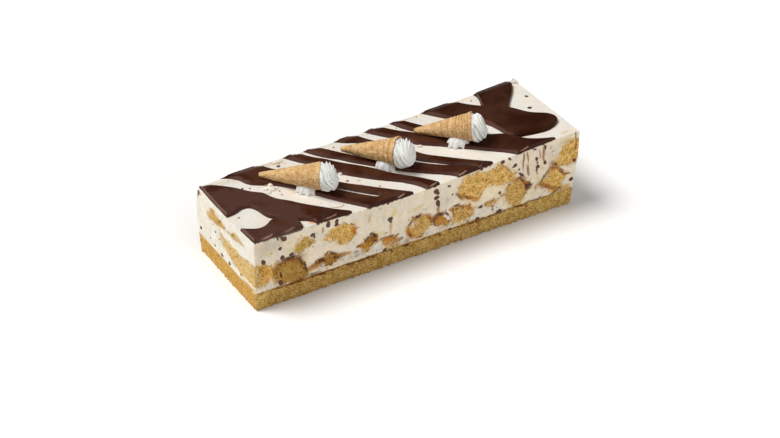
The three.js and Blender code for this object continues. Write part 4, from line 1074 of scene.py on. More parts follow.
def makeCutter(name):
    # the outline of one piece, carried through the bar and a little beyond its faces
    look = pieceLook
    triangles = nodeTriangles(name)
    low, high = triangles.reshape(-1, 3).min(0), triangles.reshape(-1, 3).max(0)
    axis = 0 if "_end_" in name else 1
    others = [k for k in range(3) if k != axis]
    seed = pieces.index(name)
    rings = []
    for level in np.linspace(low[axis] + 0.4, high[axis] - 0.4, look["along"]):
        middle, ways, reach = crossSection(triangles, axis, level, look["around"])
        reach = (np.roll(reach, 1) + 2 * reach + np.roll(reach, -1)) / 4
        ring = np.empty((len(ways), 3))
        ring[:, axis] = level
        ring[:, others] = middle + ways * reach[:, None]
        turned = np.degrees(np.arctan2(ways[:, 1], ways[:, 0]))
        bulge = np.zeros(len(ways))
        for way, width, by in pieceBulges.get(shortName(name), ()):
            bulge += by * np.exp(-(((turned - way + 180) % 360 - 180) / width) ** 2)
        fuzz = sum(depth * waves(*ring.T, size, seed + size) for size, depth in look["fuzz"])
        ring[:, others] += ways * (fuzz + 0.1 + bulge)[:, None]
        rings.append(ring)
    rings.insert(0, rings[0].copy())
    rings.append(rings[-1].copy())
    beyond, (least, most), (leftEnd, rightEnd) = look["beyond"], look["through"], look["throughEnds"]
    rings[0][:, axis] = low[axis] - (beyond if low[axis] < least[axis] else 0)
    rings[-1][:, axis] = high[axis] + (beyond if high[axis] > most[axis] else 0)
    for ring in rings:  # a piece in a corner runs out through the end as well
        if axis == 1:
            ring[ring[:, 0] < leftEnd, 0] -= beyond
            ring[ring[:, 0] > rightEnd, 0] += beyond
    faces = ringFaces(len(rings), look["around"])
    faces[-2:] = [cap[::-1] for cap in faces[-2:]]
    cutter = newObject(name + "_outline", np.concatenate(rings), faces)
    fixNormals(cutter)
    return cutter


def touching(name, margin=0.8):
    # pieces made before this one whose outlines may run into it
    low, high = extent(cutters[name])
    found = []
    for other in pieces[:pieces.index(name)]:
        otherLow, otherHigh = extent(cutters[other])
        if np.all(otherLow < high + margin) and np.all(otherHigh > low - margin):
            found.append(cutters[other])
    return found


def browning(name, obj, cutter):
    # ice cream smeared over the rim of a cut piece, and its rim browned on one side
    points = coordinates(obj)
    tree = surfaceTree([cutter])
    inside = np.array([tree.find_nearest(p)[3] for p in points])
    grain, coarse = (waves(*points.T, size, seed) for size, seed in ((1.4, 31), (4.5, 32)))
    tint, colour, towards, strength, width = pieceTones.get(shortName(name), endTone)
    tinted = np.ones(len(points)) if "_end_" in name else onFront(points)
    mark(obj, layOver(unmarked(points), tint, tinted), "tint")
    low, high = extent(cutter)
    way = (points - (low + high) / 2)[:, [0, 2]]
    way /= np.maximum(np.linalg.norm(way, axis=1), 1e-6)[:, None]
    facingIt = smoothStep(-0.5, 0.7, way @ np.array(towards) / np.linalg.norm(towards))
    rim = smoothStep(width * 1.3, width * 0.35, inside + grain) * strength * (0.2 + 0.8 * facingIt)
    marks = layOver(unmarked(points), colour, rim)
    smear = smoothStep(1.9, 0.2, inside + 1.3 * grain) * np.clip(0.35 + 1.5 * coarse, 0, 0.8)
    return layOver(marks, "creamSide", smear)


def makePiece(name):
    look = pieceLook
    cutter = cutters[name]
    low, high = extent(cutter)
    low = np.maximum(low - 0.5, [-152.6, -48.4, look["height"][0]])
    high = np.minimum(high + 0.5, [152.6, 48.4, look["height"][1]])
    xShares, yShares = ([np.clip((v - barLow[k]) / barSize[k], 0, 1) for v in (low[k], high[k])]
                        for k in (0, 1))
    atEnd = xShares[0] == 0 or xShares[1] == 1
    size = high - low
    steps = (look["endStep"] if "_end_" in name else look["step"], look["step"] * 1.2, look["step"])
    counts = [max(2, round(length / step)) for length, step in zip(size, steps)]
    if not atEnd:
        counts[1] = 2
    shares, quads = boxGrid(counts)
    points = barPoints(shares, lambda x, y: np.maximum(low[2], baseTop(x, y) + 0.03),
                       lambda x, y: np.minimum(high[2], top(x, y) - 0.3), xShares, yShares)
    made = newObject(name + "_crumb", points, quads, pieceFinish)
    roughen(made, pieceFinish, look)
    cutWith(made, "INTERSECT", [cutter])
    others = touching(name)
    if others:
        cutWith(made, "DIFFERENCE", others)
    keepMainPart(made)
    mark(made, paintedMarks(made, browning(name, made, cutter)))
    return finishPiece(made, pieceFinish, "sponge", 50, name)


# Body of ice cream

creamLook = {
    "height": 50, "step": (0.8, 1.55, 0.8), "swell": (9, 0.25), "grain": (2.4, 0.17), "pore": (4, 0.15),
    "dragDepth": 0.55, "lumps": 0.5, "smear": 0.62, "smearWidth": 3, "crumbHeight": 2.2, "chocolateDepth": 3,
    "chocolateEdge": -46.6, "chocolateDrag": (-131, -110),
}
# rough, broken-up ice cream low on the front: along, up, half width, half height
curds = [(-140, 19.5, 9, 1.8), (-95, 21, 10, 3), (-65, 21.5, 11, 3.6), (-45, 22, 9, 3.6), (-18, 20.5, 6, 4.4),
         (8, 20, 6, 3), (22, 21, 9, 4), (52, 21.5, 9, 3), (72, 22, 9, 4.5), (114, 25, 12, 5), (138, 26, 5, 3)]
dragged = {"from": 96, "to": 121, "low": 42}


def curdled(x, z):
    return np.clip(sum(np.exp(-((x - a) / w) ** 4 - ((z - b) / h) ** 2) for a, b, w, h in curds), 0, 1)


def makeCream():
    look = creamLook
    counts = tuple(round(size / step) for size, step in zip((*barSize, look["height"]), look["step"]))
    shares, quads = boxGrid(counts, openBottom=True)
    points = barPoints(shares, lambda x, y: baseTop(x, y) + 0.02, top)
    made = newObject("ice_cream_body", points, quads, creamFinish)
    roughen(made, creamFinish, look)
    points = coordinates(made)
    x, z, shown = points[:, 0], points[:, 2], onFront(points)
    start, end, low = dragged["from"], dragged["to"], dragged["low"]
    pulled = smoothStep(start - 3, start + 2, x) * smoothStep(end + 3, end - 2, x)
    pulled *= smoothStep(low - 4, low + 6, z) * shown
    rough = curdled(x, z) * shown
    chosen = np.flatnonzero(pulled + rough > 0.02)
    x, z = x[chosen], z[chosen]
    groove = 0.5 + 0.5 * waves(x, 0, z / 14, 1.25, 6)
    lumps = waves(x, 0, z, 2.1, 8) + 0.6 * waves(x, 0, z, 1, 9)
    points[chosen, 1] += pulled[chosen] * look["dragDepth"] * groove - rough[chosen] * look["lumps"] * lumps
    moveTo(made, points)
    cutWith(made, "DIFFERENCE", list(cutters.values()))
    keepMainPart(made)
    points = coordinates(made)
    x, y, z = points.T
    shown, above, below = onFront(points), z - baseTop(x, y), top(x, y) - z
    marks = brushed(unmarked(points), shown, x, z, creamWashes)
    tree = surfaceTree(list(cutters.values()))
    smeared = np.zeros(len(points))
    for i in np.flatnonzero(below > 0.6):  # crumb smeared round the pieces
        gap = tree.find_nearest(points[i])[3]
        if gap < look["smearWidth"]:
            patchy = np.clip(0.5 + 1.4 * wave(*points[i], 3.4, 33), 0, 1)
            smeared[i] = smoothStep(look["smearWidth"], 0.2, gap) * patchy
    marks = paintedMarks(made, layOver(marks, "smear", smeared * look["smear"]))
    chosen = np.flatnonzero((shown > 0.3) & (above < look["crumbHeight"]))  # crumb caught along the foot
    fray = 0.5 + 1.3 * waves(x[chosen], 0, 0, 4.5, 63) + 0.9 * waves(x[chosen], 0, z[chosen], 1.5, 64)
    caught = smoothStep(fray + 0.3, fray - 0.3, above[chosen])
    marks[chosen] = layOver(marks[chosen], "baseSide", caught)
    chosen, edge = np.flatnonzero((shown > 0.3) & (below < look["chocolateDepth"])), look["chocolateEdge"]
    chosen = np.array([i for i in chosen
                       if bandTree.ray_cast((x[i], edge, overhead), (0, 0, -1))[0] is not None])
    along = x[chosen]  # chocolate dragged down over the cut
    more = waves(along, 0, 0, 3.1, 51) + 0.5 * waves(along, 0, z[chosen], 1.3, 52)
    start, end = look["chocolateDrag"]  # where it was dragged further
    drag = np.where((along > start) & (along < end), 1.3, 0.3) + 1.7 * np.maximum(0, more)
    smudge = smoothStep(drag + 0.5, drag, below[chosen])
    marks[chosen] = layOver(marks[chosen], "chocolateFront", smudge)
    mark(made, marks)
    store(made, "curd", curdled(x, z) * shown)
    return finishPiece(made, creamFinish, "ice_cream", 45, "ice_cream")


bandNames = sorted(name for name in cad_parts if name.startswith("chocolate_"))
bandTree = rayTree(bandNames)
makeBase()
print("base made")
cutters = {name: makeCutter(name) for name in pieces}
crumbPieces = [makePiece(name) for name in pieces]
print("sponge pieces made")
cream = makeCream()
discard(*cutters.values())
print("ice cream made", len(cream.data.polygons))


def pointsPiece(name, places, sizes, turns, material, slot, roughness):
    made = newObject(name, places, [])
    store(made, "turn", turns, "FLOAT_VECTOR")
    store(made, "size", np.array(sizes, float) * mm, "FLOAT_VECTOR")
    runTree(made, chipsOnPoints, Roughness=roughness, Material=material)
    return finishPiece(made, material, slot, 40)


# Chocolate chips in the cut faces: place along and up (or across), radius, tallness, and the lean of
# those that lean, in degrees

chipPlaces = {
    "front": [
        (-143.5, 45, 1.75, 1.5, 18), (-128.7, 52.6, 1.5, 1.05), (-127, 43.5, 1.75, 1.3),
        (-125.4, 60.3, 2.3, 0.95, 30), (-127.3, 62.2, 1.2, 1.2), (-128.8, 20.5, 1.8, 1.5, 20),
        (-119.2, 43.6, 2.2, 0.75, 20), (-100.4, 55.4, 2.1, 0.75, 15), (-98.9, 53, 1, 1.6),
        (-107, 29.3, 0.9, 1.3), (-106.2, 26.3, 1.2, 0.6, 30), (-86.8, 60.6, 1.9, 1.6),
        (-79.3, 60.6, 1.7, 1.5, -8), (-79.5, 57.8, 1.9, 0.7), (-30.5, 46.2, 2.4, 0.85),
        (-30.3, 44, 1.3, 1.1), (-34.8, 17.5, 1.9, 0.8, 10), (-47.8, 38.2, 0.9, 1.4),
        (-4.2, 39.5, 2.4, 0.55, 12), (-5.7, 40, 1.2, 0.8), (-1.3, 18.7, 1.6, 0.55), (11.8, 58.3, 2.3, 0.95),
        (13.6, 55.8, 1.5, 1.1), (12.5, 51.9, 2.5, 0.75, 5), (13.9, 46.6, 1.9, 1.6, 15),
        (14.6, 43.6, 0.8, 1.5), (24.3, 59.3, 1.9, 0.55, -15), (27.6, 50, 1, 1, 30), (26.6, 16.3, 1.4, 0.7),
        (53.5, 17.6, 2.2, 0.7), (75, 18, 2.6, 0.7), (56.6, 28.3, 1.4, 1.1), (74.3, 36.1, 1.5, 1.05),
        (75.3, 65.6, 1.8, 1), (82, 66.4, 0.95, 2.5, 38), (87.9, 58.3, 1.9, 1.1), (86, 57.2, 1.1, 0.7),
        (92.3, 53, 1.1, 1.1), (95.4, 46.8, 1.2, 2.2, 42), (93, 49, 0.8, 1.3, 45), (102.6, 32.8, 1.9, 1),
        (100.7, 31.6, 1.1, 1.2), (104.8, 34, 1.2, 0.9), (109.4, 57.7, 1.1, 1.6), (110.4, 53.8, 0.6, 1.8),
        (111, 49.6, 1.9, 1, 30), (110.4, 47, 0.9, 1.6), (118.4, 51.4, 1.4, 1.5, 28),
        (147.2, 25.6, 2.1, 0.85), (148.6, 44.2, 1.8, 0.9, 20), (68, 24.6, 0.9, 1), (68.2, 21.7, 0.8, 0.9),
        (-18.9, 24, 0.7, 0.9), (44, 18, 0.7, 1.4), (-60.5, 26.2, 0.8, 0.7), (32, 38, 2.6, 0.3, -8),
        (23.3, 32.8, 0.6, 4.2, 45), (5.6, 64, 1.7, 0.8), (-131.3, 63.6, 0.7, 4.2, 22),
        (54.9, 65.9, 1.5, 1.2), (117, 66.4, 1.2, 2.2, 8), (-33, 61.9, 1.3, 0.6), (107, 67.6, 1.6, 0.5),
    ],
    "top": [
        (-142.5, 41, 1.6, 0.7), (-123.5, 23, 1.5, 0.8), (-118.5, 20, 1.2, 0.8), (-144.5, -11, 1.3, 0.8),
        (-100.5, 5, 1.1, 0.8), (-101, -0.5, 1.1, 0.8), (-84.5, 36, 2, 0.9), (-46.5, -8, 1.3, 1),
        (-27.5, -26, 1.2, 0.9), (136.5, 2, 2.2, 0.9), (144.5, 18, 1.9, 1),
    ],
    "left": [
        (41.7, 24.9, 1.6, 0.8, 20), (19.2, 21.7, 1.7, 0.6, 30), (7.4, 19.6, 2.3, 0.6, 8),
        (-5.5, 19.7, 1.9, 0.6, 20), (-24.9, 20.8, 1.7, 0.5, 20), (44.6, 57, 2, 0.8, 25),
        (16.5, 35.9, 0.8, 0.8), (26, 24.5, 0.7, 0.7),
    ],
}
# how deep the middle of a chip lies, its half thickness, and how much larger it is than its place says
chipLook = {"front": (0.1, 0.6, 1.1), "left": (0.1, 0.75, 1), "back": (0.35, 0.75, 1),
            "right": (0.35, 0.75, 1), "top": (0.35, 0.75, 1)}
hiddenChips = {"back": (26, 140, 5), "right": (8, 40, 9)}  # how many, half the length they fill, seed


def scattered(count, halfLength, seed):
    draw = random.Random(seed)
    spans = ((-halfLength, halfLength), (21, 60), (1, 2.1), (0.7, 1.3))
    return [[draw.uniform(*span) for span in spans] for _ in range(count)]


def makeChips():
    places, turns, sizes = [], [], []
    draw = random.Random(3)
    inCream = rayTree(["ice_cream"])
    hidden = {face: scattered(*plan) for face, plan in hiddenChips.items()}
    for face, chips in {**chipPlaces, **hidden}.items():
        depth, thick, larger = chipLook[face]
        axis = faceLook[face][1]
        for along, up, radius, tall, *lean in chips:
            place = onFace(face, along, up, -depth)
            if face in hiddenChips and inCream.find_nearest(place)[3] > 1.2:
                continue
            spin = -math.radians(lean[0] if lean else 0) + draw.uniform(-0.1, 0.1)
            size, turn = [radius * larger, radius * tall * larger], [0, 0, 0]
            size.insert(axis, thick)
            turn[axis] = spin if axis else -spin
            places.append(place)
            sizes.append(size)
            turns.append(turn)
    return pointsPiece("chocolate_chips", places, sizes, turns, chipFinish, "chocolate", 0.45)


makeChips()
print("chips made")


# Poured chocolate bands

bandLook = {
    "height": 3.2, "bed": -0.15, "rim": 1.5, "crown": 0.12, "wave": 0.12, "spacing": 1, "grid": 2,
    "rings": (0.12, 0.35, 0.7, 1.15, 1.7), "beyond": 7, "smoothing": 5, "backRounding": 6, "backInset": 2.6,
    "backThinning": 0.6, "scrapeWidth": 0.55, "scrapeRise": (1.2, 3.3), "leftScrape": 0.3,
    "scraped": ((-149, -135, 0.95), (-131, -116, 0.5), (-96, -79, 0.6), (-28, -18, 0.95), (2, 12, 0.9),
                (28, 40, 0.9), (50, 55, 0.5), (88, 100, 0.7)),
}


def footprint(name):
    # loops round the underside of a band, as seen from above
    triangles = nodeTriangles(name)
    points, index = np.unique(np.round(triangles.reshape(-1, 3), 4), axis=0, return_inverse=True)
    index = index.reshape(-1, 3)
    a, b, c = (points[index[:, k]] for k in range(3))
    normal = np.cross(b - a, c - a)
    size = np.linalg.norm(normal, axis=1)
    under = index[(size > 1e-9) & (normal[:, 2] < -0.5 * size)]
    edges = {(int(t[i]), int(t[(i + 1) % 3])) for t in under for i in range(3)}
    following = {}
    for start, end in edges:
        if (end, start) not in edges:
            following.setdefault(start, []).append(end)
    loops = []
    while following:
        start = next(iter(following))
        loop = [start]
        while True:
            ends = following[loop[-1]]
            end = ends.pop()
            if not ends:
                del following[loop[-1]]
            if end == start:
                break
            loop.append(end)
            if end not in following:
                break
        if len(loop) > 3:
            loops.append(points[loop, :2][::-1])
    return loops


def withoutSlits(loop):
    # drops the points where an outline turns back on itself inside the band
    points = list(loop)
    x, y = loop.T
    sense = 1 if (x * np.roll(y, -1) - np.roll(x, -1) * y).sum() > 0 else -1
    i = 0
    while i < len(points) and len(points) > 3:
        a, b, c = points[i - 1], points[i], points[(i + 1) % len(points)]
        came, goes = b - a, c - b
        size = np.linalg.norm(came) * np.linalg.norm(goes)
        turn = (came[0] * goes[1] - came[1] * goes[0]) * sense
        if size < 1e-3 or (came @ goes < -0.93 * size and turn < 0.03 * size):
            points.pop(i)
            i = max(0, i - 2)
        else:
            i += 1
    return np.array(points)


def curveThrough(points, spacing):
    # a closed smooth curve through corners, in even steps
    out = []
    count = len(points)
    for i in range(count):
        near = [points[(i + k) % count] for k in (-1, 0, 1, 2)]
        steps = max(1, round(np.linalg.norm(near[2] - near[1]) / spacing))
        knots = [0]
        for p, q in zip(near, near[1:]):
            knots.append(knots[-1] + max(np.linalg.norm(q - p), 1e-6) ** 0.5)
        for s in range(steps):
            t = lerp(knots[1], knots[2], s / steps)
            one = [lerp(near[k], near[k + 1], (t - knots[k]) / (knots[k + 1] - knots[k])) for k in range(3)]
            two = [lerp(one[k], one[k + 1], (t - knots[k]) / (knots[k + 2] - knots[k])) for k in range(2)]
            out.append(lerp(*two, (t - knots[1]) / (knots[2] - knots[1])))
    return np.array(out)


def onTrim(point):
    # which ways a point of an outline touches the trimmed faces of the bar
    x, y = point
    z = float(top(x, y)) - edgeDrop
    ways = np.zeros(2)
    if y < float(front(x, z)) + 0.5:
        ways[1] = -1
    elif y > float(back(x, z)) - 1:
        ways[1] = 1
    if x < float(left(y, z)) + 0.8:
        ways[0] = -1
    elif x > float(right(y, z)) - 0.8:
        ways[0] = 1
    return ways


def pouredOutline(loop):
    # the outline before it was trimmed with the bar: carried on past the faces, then smoothed
    loop = withoutSlits(loop)
    gaps = np.linalg.norm(loop - np.roll(loop, 1, axis=0), axis=1)
    loop = loop[gaps > 0.15]
    ways = np.array([onTrim(p) for p in loop])
    trimmed = np.abs(ways).sum(1) > 0
    count, beyond = len(loop), bandLook["beyond"]
    out = []
    for i, point in enumerate(loop):
        after = (i + 1) % count
        if not trimmed[i]:
            out.append(point)
        elif not trimmed[i - 1]:
            step = point - loop[i - 1]
            out += [point, point + step / np.linalg.norm(step) * beyond]
        elif not trimmed[after]:
            step = point - loop[after]
            out += [point + step / np.linalg.norm(step) * beyond, point]
        else:
            out.append(point + ways[i] * beyond)
    curve = curveThrough(np.array(out), bandLook["spacing"])
    for _ in range(bandLook["smoothing"]):
        curve = (np.roll(curve, 1, axis=0) + 2 * curve + np.roll(curve, -1, axis=0)) / 4
    return curve


def segmentDistance(points, loops):
    # distance from each point to the nearest outline, and whether it lies inside
    nearest = np.full(len(points), 1e9)
    crossings = np.zeros(len(points), int)
    for loop in loops:
        for a, e in zip(loop, np.roll(loop, -1, axis=0) - loop):
            rel = points - a
            t = np.clip((rel @ e) / max(e @ e, 1e-12), 0, 1)
            gap = rel - t[:, None] * e
            nearest = np.minimum(nearest, np.hypot(gap[:, 0], gap[:, 1]))
            if e[1] != 0:
                cross = (a[1] > points[:, 1]) != (a[1] + e[1] > points[:, 1])
                at = a[0] + (points[:, 1] - a[1]) / e[1] * e[0]
                crossings += cross & (points[:, 0] < at)
    return nearest, crossings % 2 == 1


def bandThickness(distance, x, y):
    look = bandLook
    atBack = np.clip((y - barHigh[1]) / look["backRounding"] + 1, 0, 1)
    distance = np.maximum(distance - look["backInset"] * atBack ** 2, 0.02)
    rise = np.sqrt(np.clip(1 - (1 - np.clip(distance / look["rim"], 0, 1)) ** 2, 0, 1))
    crown = look["crown"] * (1 - np.exp(-np.maximum(distance - look["rim"], 0) / 4))
    ripple = look["wave"] * waves(x, y, 0, 16, 4)
    return (look["height"] * rise + (crown + ripple) * rise) * (1 - look["backThinning"] * atBack)


def bandMesh(loops):
    # points and triangles that fill an outline, finer along its rim, and how far each is from it
    look = bandLook
    outline = np.concatenate(loops)
    starts = np.cumsum([0] + [len(loop) for loop in loops])
    edges = [(s + i, s + (i + 1) % len(loop)) for s, loop in zip(starts, loops) for i in range(len(loop))]
    extra = []
    for loop in loops:
        along = np.roll(loop, -1, axis=0) - np.roll(loop, 1, axis=0)
        inward = np.stack([-along[:, 1], along[:, 0]], 1) / np.linalg.norm(along, axis=1)[:, None]
        extra += [(loop + inward * ring * side, ring * 0.93) for ring in look["rings"] for side in (1, -1)]
    low, high = outline.min(0), outline.max(0)
    grid = look["grid"]
    xs, ys = np.arange(low[0], high[0], grid), np.arange(low[1], high[1], grid * 0.87)
    mesh = np.array([(x + (j % 2) * grid / 2, y) for j, y in enumerate(ys) for x in xs])
    extra.append((mesh, look["rings"][-1] + grid * 0.45))
    keep = [outline]
    for points, least in extra:
        distance, inside = segmentDistance(points, loops)
        keep.append(points[inside & (distance > least)])
    flat, _, faces, _, _, _ = delaunay_2d_cdt([Vector(p) for p in np.concatenate(keep)], edges, [], 0, 1e-4)
    flat, faces = np.array([tuple(p) for p in flat]), np.array([list(f) for f in faces])
    faces = faces[segmentDistance(flat[faces].mean(1), loops)[1]]
    used, index = np.unique(faces, return_inverse=True)
    flat, faces = flat[used], index.reshape(-1, 3)
    a, b, c = (flat[faces[:, k]] for k in range(3))
    turned = (b[:, 0] - a[:, 0]) * (c[:, 1] - a[:, 1]) - (b[:, 1] - a[:, 1]) * (c[:, 0] - a[:, 0]) < 0
    faces[turned] = faces[turned][:, ::-1]
    return flat, faces, segmentDistance(flat, loops)[0]


def scrapedHighlightPlaces(x, y, above):
    # thin lines that climb along the cut where it scraped the chocolate, painted lighter as a highlight on
    # the cut's top edge; a painted highlight also runs along the top edge at the left end
    look = bandLook
    level = top(x, y) - edgeDrop
    atFront = smoothStep(0.75, 0.25, y - front(x, level))
    atLeft = smoothStep(0.5, 0.15, x - left(y, level))
    scraped = atLeft * look["leftScrape"] * smoothStep(2.6, 3.1, above)
    for start, end, strength in look["scraped"]:
        line = above - lerp(*look["scrapeRise"], np.clip((x - start) / (end - start), 0, 1))
        held = smoothStep(start - 1, start + 1, x) * smoothStep(end + 1, end - 1, x)
        line = np.exp(-(line / look["scrapeWidth"]) ** 2) * held * strength
        scraped = np.maximum(scraped, line * atFront)
    return scraped


def makeBand(name, trim):
    loops = [pouredOutline(loop) for loop in footprint(name) if len(loop) > 8]
    flat, faces, distance = bandMesh([loop for loop in loops if len(loop) > 12])
    x, y = flat.T
    level = top(x, y)
    upper = level + 0.3 * np.clip(distance / 0.2, 0.3, 1) + bandThickness(distance, x, y)
    points = np.concatenate([np.stack([x, y, z], 1) for z in (upper, level + bandLook["bed"])])
    count = len(flat)
    polygons = [list(f) for f in faces] + [[i + count for i in f[::-1]] for f in faces]
    borders = {(int(f[i]), int(f[(i + 1) % 3])) for f in faces for i in range(3)}
    for start, end in borders:
        if (end, start) not in borders:
            polygons.append([start, start + count, end + count, end])
    made = newObject(name + "_poured", points, polygons, chocolateFinish)
    cutWith(made, "INTERSECT", [trim])
    keepMainPart(made)
    points = coordinates(made)
    x, y, z = points.T
    # painted sheen: the left band is washed a lighter, greyer brown towards its left end
    paintedSheen = 0 * x
    if name == "chocolate_left":
        paintedSheen = np.clip(0.75 + waves(x, y, z, 14, 41), 0, 1) * smoothStep(-84, -112, x)
    marks = layOver(unmarked(points), "chocolateDull", paintedSheen)
    mark(made, layOver(marks, "scraped", scrapedHighlightPlaces(x, y, z - top(x, y))))
    return finishPiece(made, chocolateFinish, "chocolate", 35, name)


trimLook = {  # how far the top edge of a cut is broken back, at heights above the ice cream
    "levels": ((-26, 0), (0.2, 0), (2.5, 0.08), (3.1, 0.5), (3.75, 1), (38, 1)), "depth": 0.6,
    "front": 1.2, "left": 0.5, "right": 0.8, "back": 2.6, "step": 0.7, "span": (40, 110),
}


def trimBlock():
    look = trimLook
    (x0, y0), (x1, y1) = barLow, barHigh
    plan = []
    for side, a, b in (("front", (x0, y0), (x1, y0)), ("right", (x1, y0), (x1, y1)),
                       ("back", (x1, y1), (x0, y1)), ("left", (x0, y1), (x0, y0))):
        a, b = np.array(a, float), np.array(b, float)
        length = np.linalg.norm(b - a)
        inward = np.array([-(b - a)[1], (b - a)[0]]) / length
        for i in range(round(length / look["step"])):
            x, y = lerp(a, b, i * look["step"] / length)
            z = float(top(x, y)) - edgeDrop
            x, y, z = onFace(side, x if side in ("front", "back") else y, z)
            broken = 0.35 + 0.9 * wave(x, y, 0, 4.2, 11) + 0.6 * wave(x, y, 0, 1.7, 12)
            plan.append((x, y, z + edgeDrop, *inward, max(0.08, broken) * look[side]))
    plan = np.array(plan)
    rings = []
    for height, share in look["levels"]:
        moved = plan[:, 3:5] * (plan[:, 5] * share * look["depth"])[:, None]
        rings.append(np.column_stack([plan[:, :2] + moved, plan[:, 2] + height]))
    rings[0][:, 2], rings[-1][:, 2] = look["span"]
    made = newObject("trim", np.concatenate(rings), ringFaces(len(rings), len(plan)))
    fixNormals(made)
    return made


trim = trimBlock()
bandPieces = [makeBand(name, trim) for name in bandNames]
discard(trim)
print("chocolate bands made", [len(b.data.polygons) for b in bandPieces])


# Wafer cones with piped cream, each propped on a dollop

# rings: how far along each groove runs, and how deep it is; swirl: how wide and how long it is
conePlaces = {
    "one": {
        "tip": (-106.7, 25.8), "yaw": -48, "tilt": 10.9, "length": 51.5, "radius": 11.2, "rolledRim": 0.1,
        "rings": ((0.66, 0.12), (0.75, 0.2), (0.84, 0.2), (0.91, 0.15)), "slant": 2.6, "overhang": 1.4,
        "swirlShift": (0.2, 0.5), "swirl": (11.1, 14.2), "ridge": 1.9, "seed": 3},
    "two": {
        "tip": (-32.1, 26), "yaw": -51, "tilt": 10.9, "length": 48.7, "radius": 11.4, "rolledRim": 0.6,
        "rings": ((0.19, 0.18), (0.34, 0.12), (0.47, 0.22), (0.6, 0.25), (0.71, 0.3), (0.82, 0.32),
                  (0.9, 0.4)), "slant": 0, "overhang": 1.2,
        "swirlShift": (-0.3, 1.7), "swirl": (11.4, 14.2), "ridge": 1.3, "seed": 4},
    "three": {
        "tip": (32.6, 18.2), "yaw": -43.2, "tilt": 13.6, "length": 48, "radius": 11.8, "rolledRim": 0.15,
        "rings": ((0.36, 0.15), (0.49, 0.3), (0.61, 0.3), (0.7, 0.22), (0.75, 0.4), (0.8, 0.3), (0.85, 0.4),
                  (0.9, 0.35), (0.94, 0.35)), "slant": 2.2, "overhang": 1.7,
        "swirlShift": (0, 1.3), "swirl": (11.3, 12.6), "ridge": 1.6, "seed": 5},
}
dollopPlaces = {
    "one": {"at": (-82, -5.8), "size": (18, 13, 8.5), "turn": 40, "lobes": 9, "starred": 0, "seed": 40},
    "two": {"at": (-10.2, -7.3), "size": (17.5, 12.5, 8.5), "turn": 38, "lobes": 9, "starred": 0, "seed": 41},
    "three": {"at": (56.7, -11.3), "size": (20, 12, 9), "turn": 28, "lobes": 10, "starred": 0.15, "seed": 42},
}
coneLook = {"around": 132, "along": 150, "wall": 1.3, "recess": 3, "tip": 1.9, "lift": 5.7, "ringWidth": 0.55,
            "unevenness": 0.36, "seam": 0.4}
swirlLook = {"lobes": 8, "depth": 0.23, "twist": -5, "around": 220, "along": 104, "sag": 1.4, "droop": 1,
             "coilDepth": 0.1, "coilWidth": 1.3}
dollopLook = {"depth": 0.16, "footDepth": 0.2, "around": 196, "along": 40, "twist": 0.12,
              "profile": ((-0.24, 0.92), (0.1, 1.03), (0.3, 1), (0.58, 0.9), (0.84, 0.66), (1, 0.25))}


def coneMatrix(spec):
    x, y = spec["tip"]
    yaw, tilt = math.radians(spec["yaw"]), math.radians(spec["tilt"])
    axis = Vector((math.cos(yaw) * math.cos(tilt), math.sin(yaw) * math.cos(tilt), math.sin(tilt)))
    side = Vector((0, 0, 1)).cross(axis).normalized()
    up = axis.cross(side)
    matrix = Matrix((side, axis, -up)).transposed().to_4x4()
    matrix.translation = (x, y, float(top(x, y)) + coneLook["lift"])
    return np.array(matrix)


def placedPoints(spec, points):
    # the mouth of a cone is cut a little aslant, and its upper lip stands out
    share = np.clip(points[:, 1] / spec["length"], 0, 1)
    aslant = spec["slant"] * points[:, 0] + spec["overhang"] * points[:, 2]
    points[:, 1] -= aslant / spec["radius"] * share ** 3
    matrix = coneMatrix(spec)
    return points @ matrix[:3, :3].T + matrix[:3, 3]


def turnedSolid(name, rows, spec, values, attributeName, material):
    # rings of points joined into a closed solid, with one value kept at each point
    points = np.concatenate(rows)
    if spec:
        points = placedPoints(spec, points)
    made = newObject(name, points, ringFaces(len(rows), len(rows[0])), material)
    store(made, attributeName, np.concatenate(values))
    fixNormals(made)
    return made


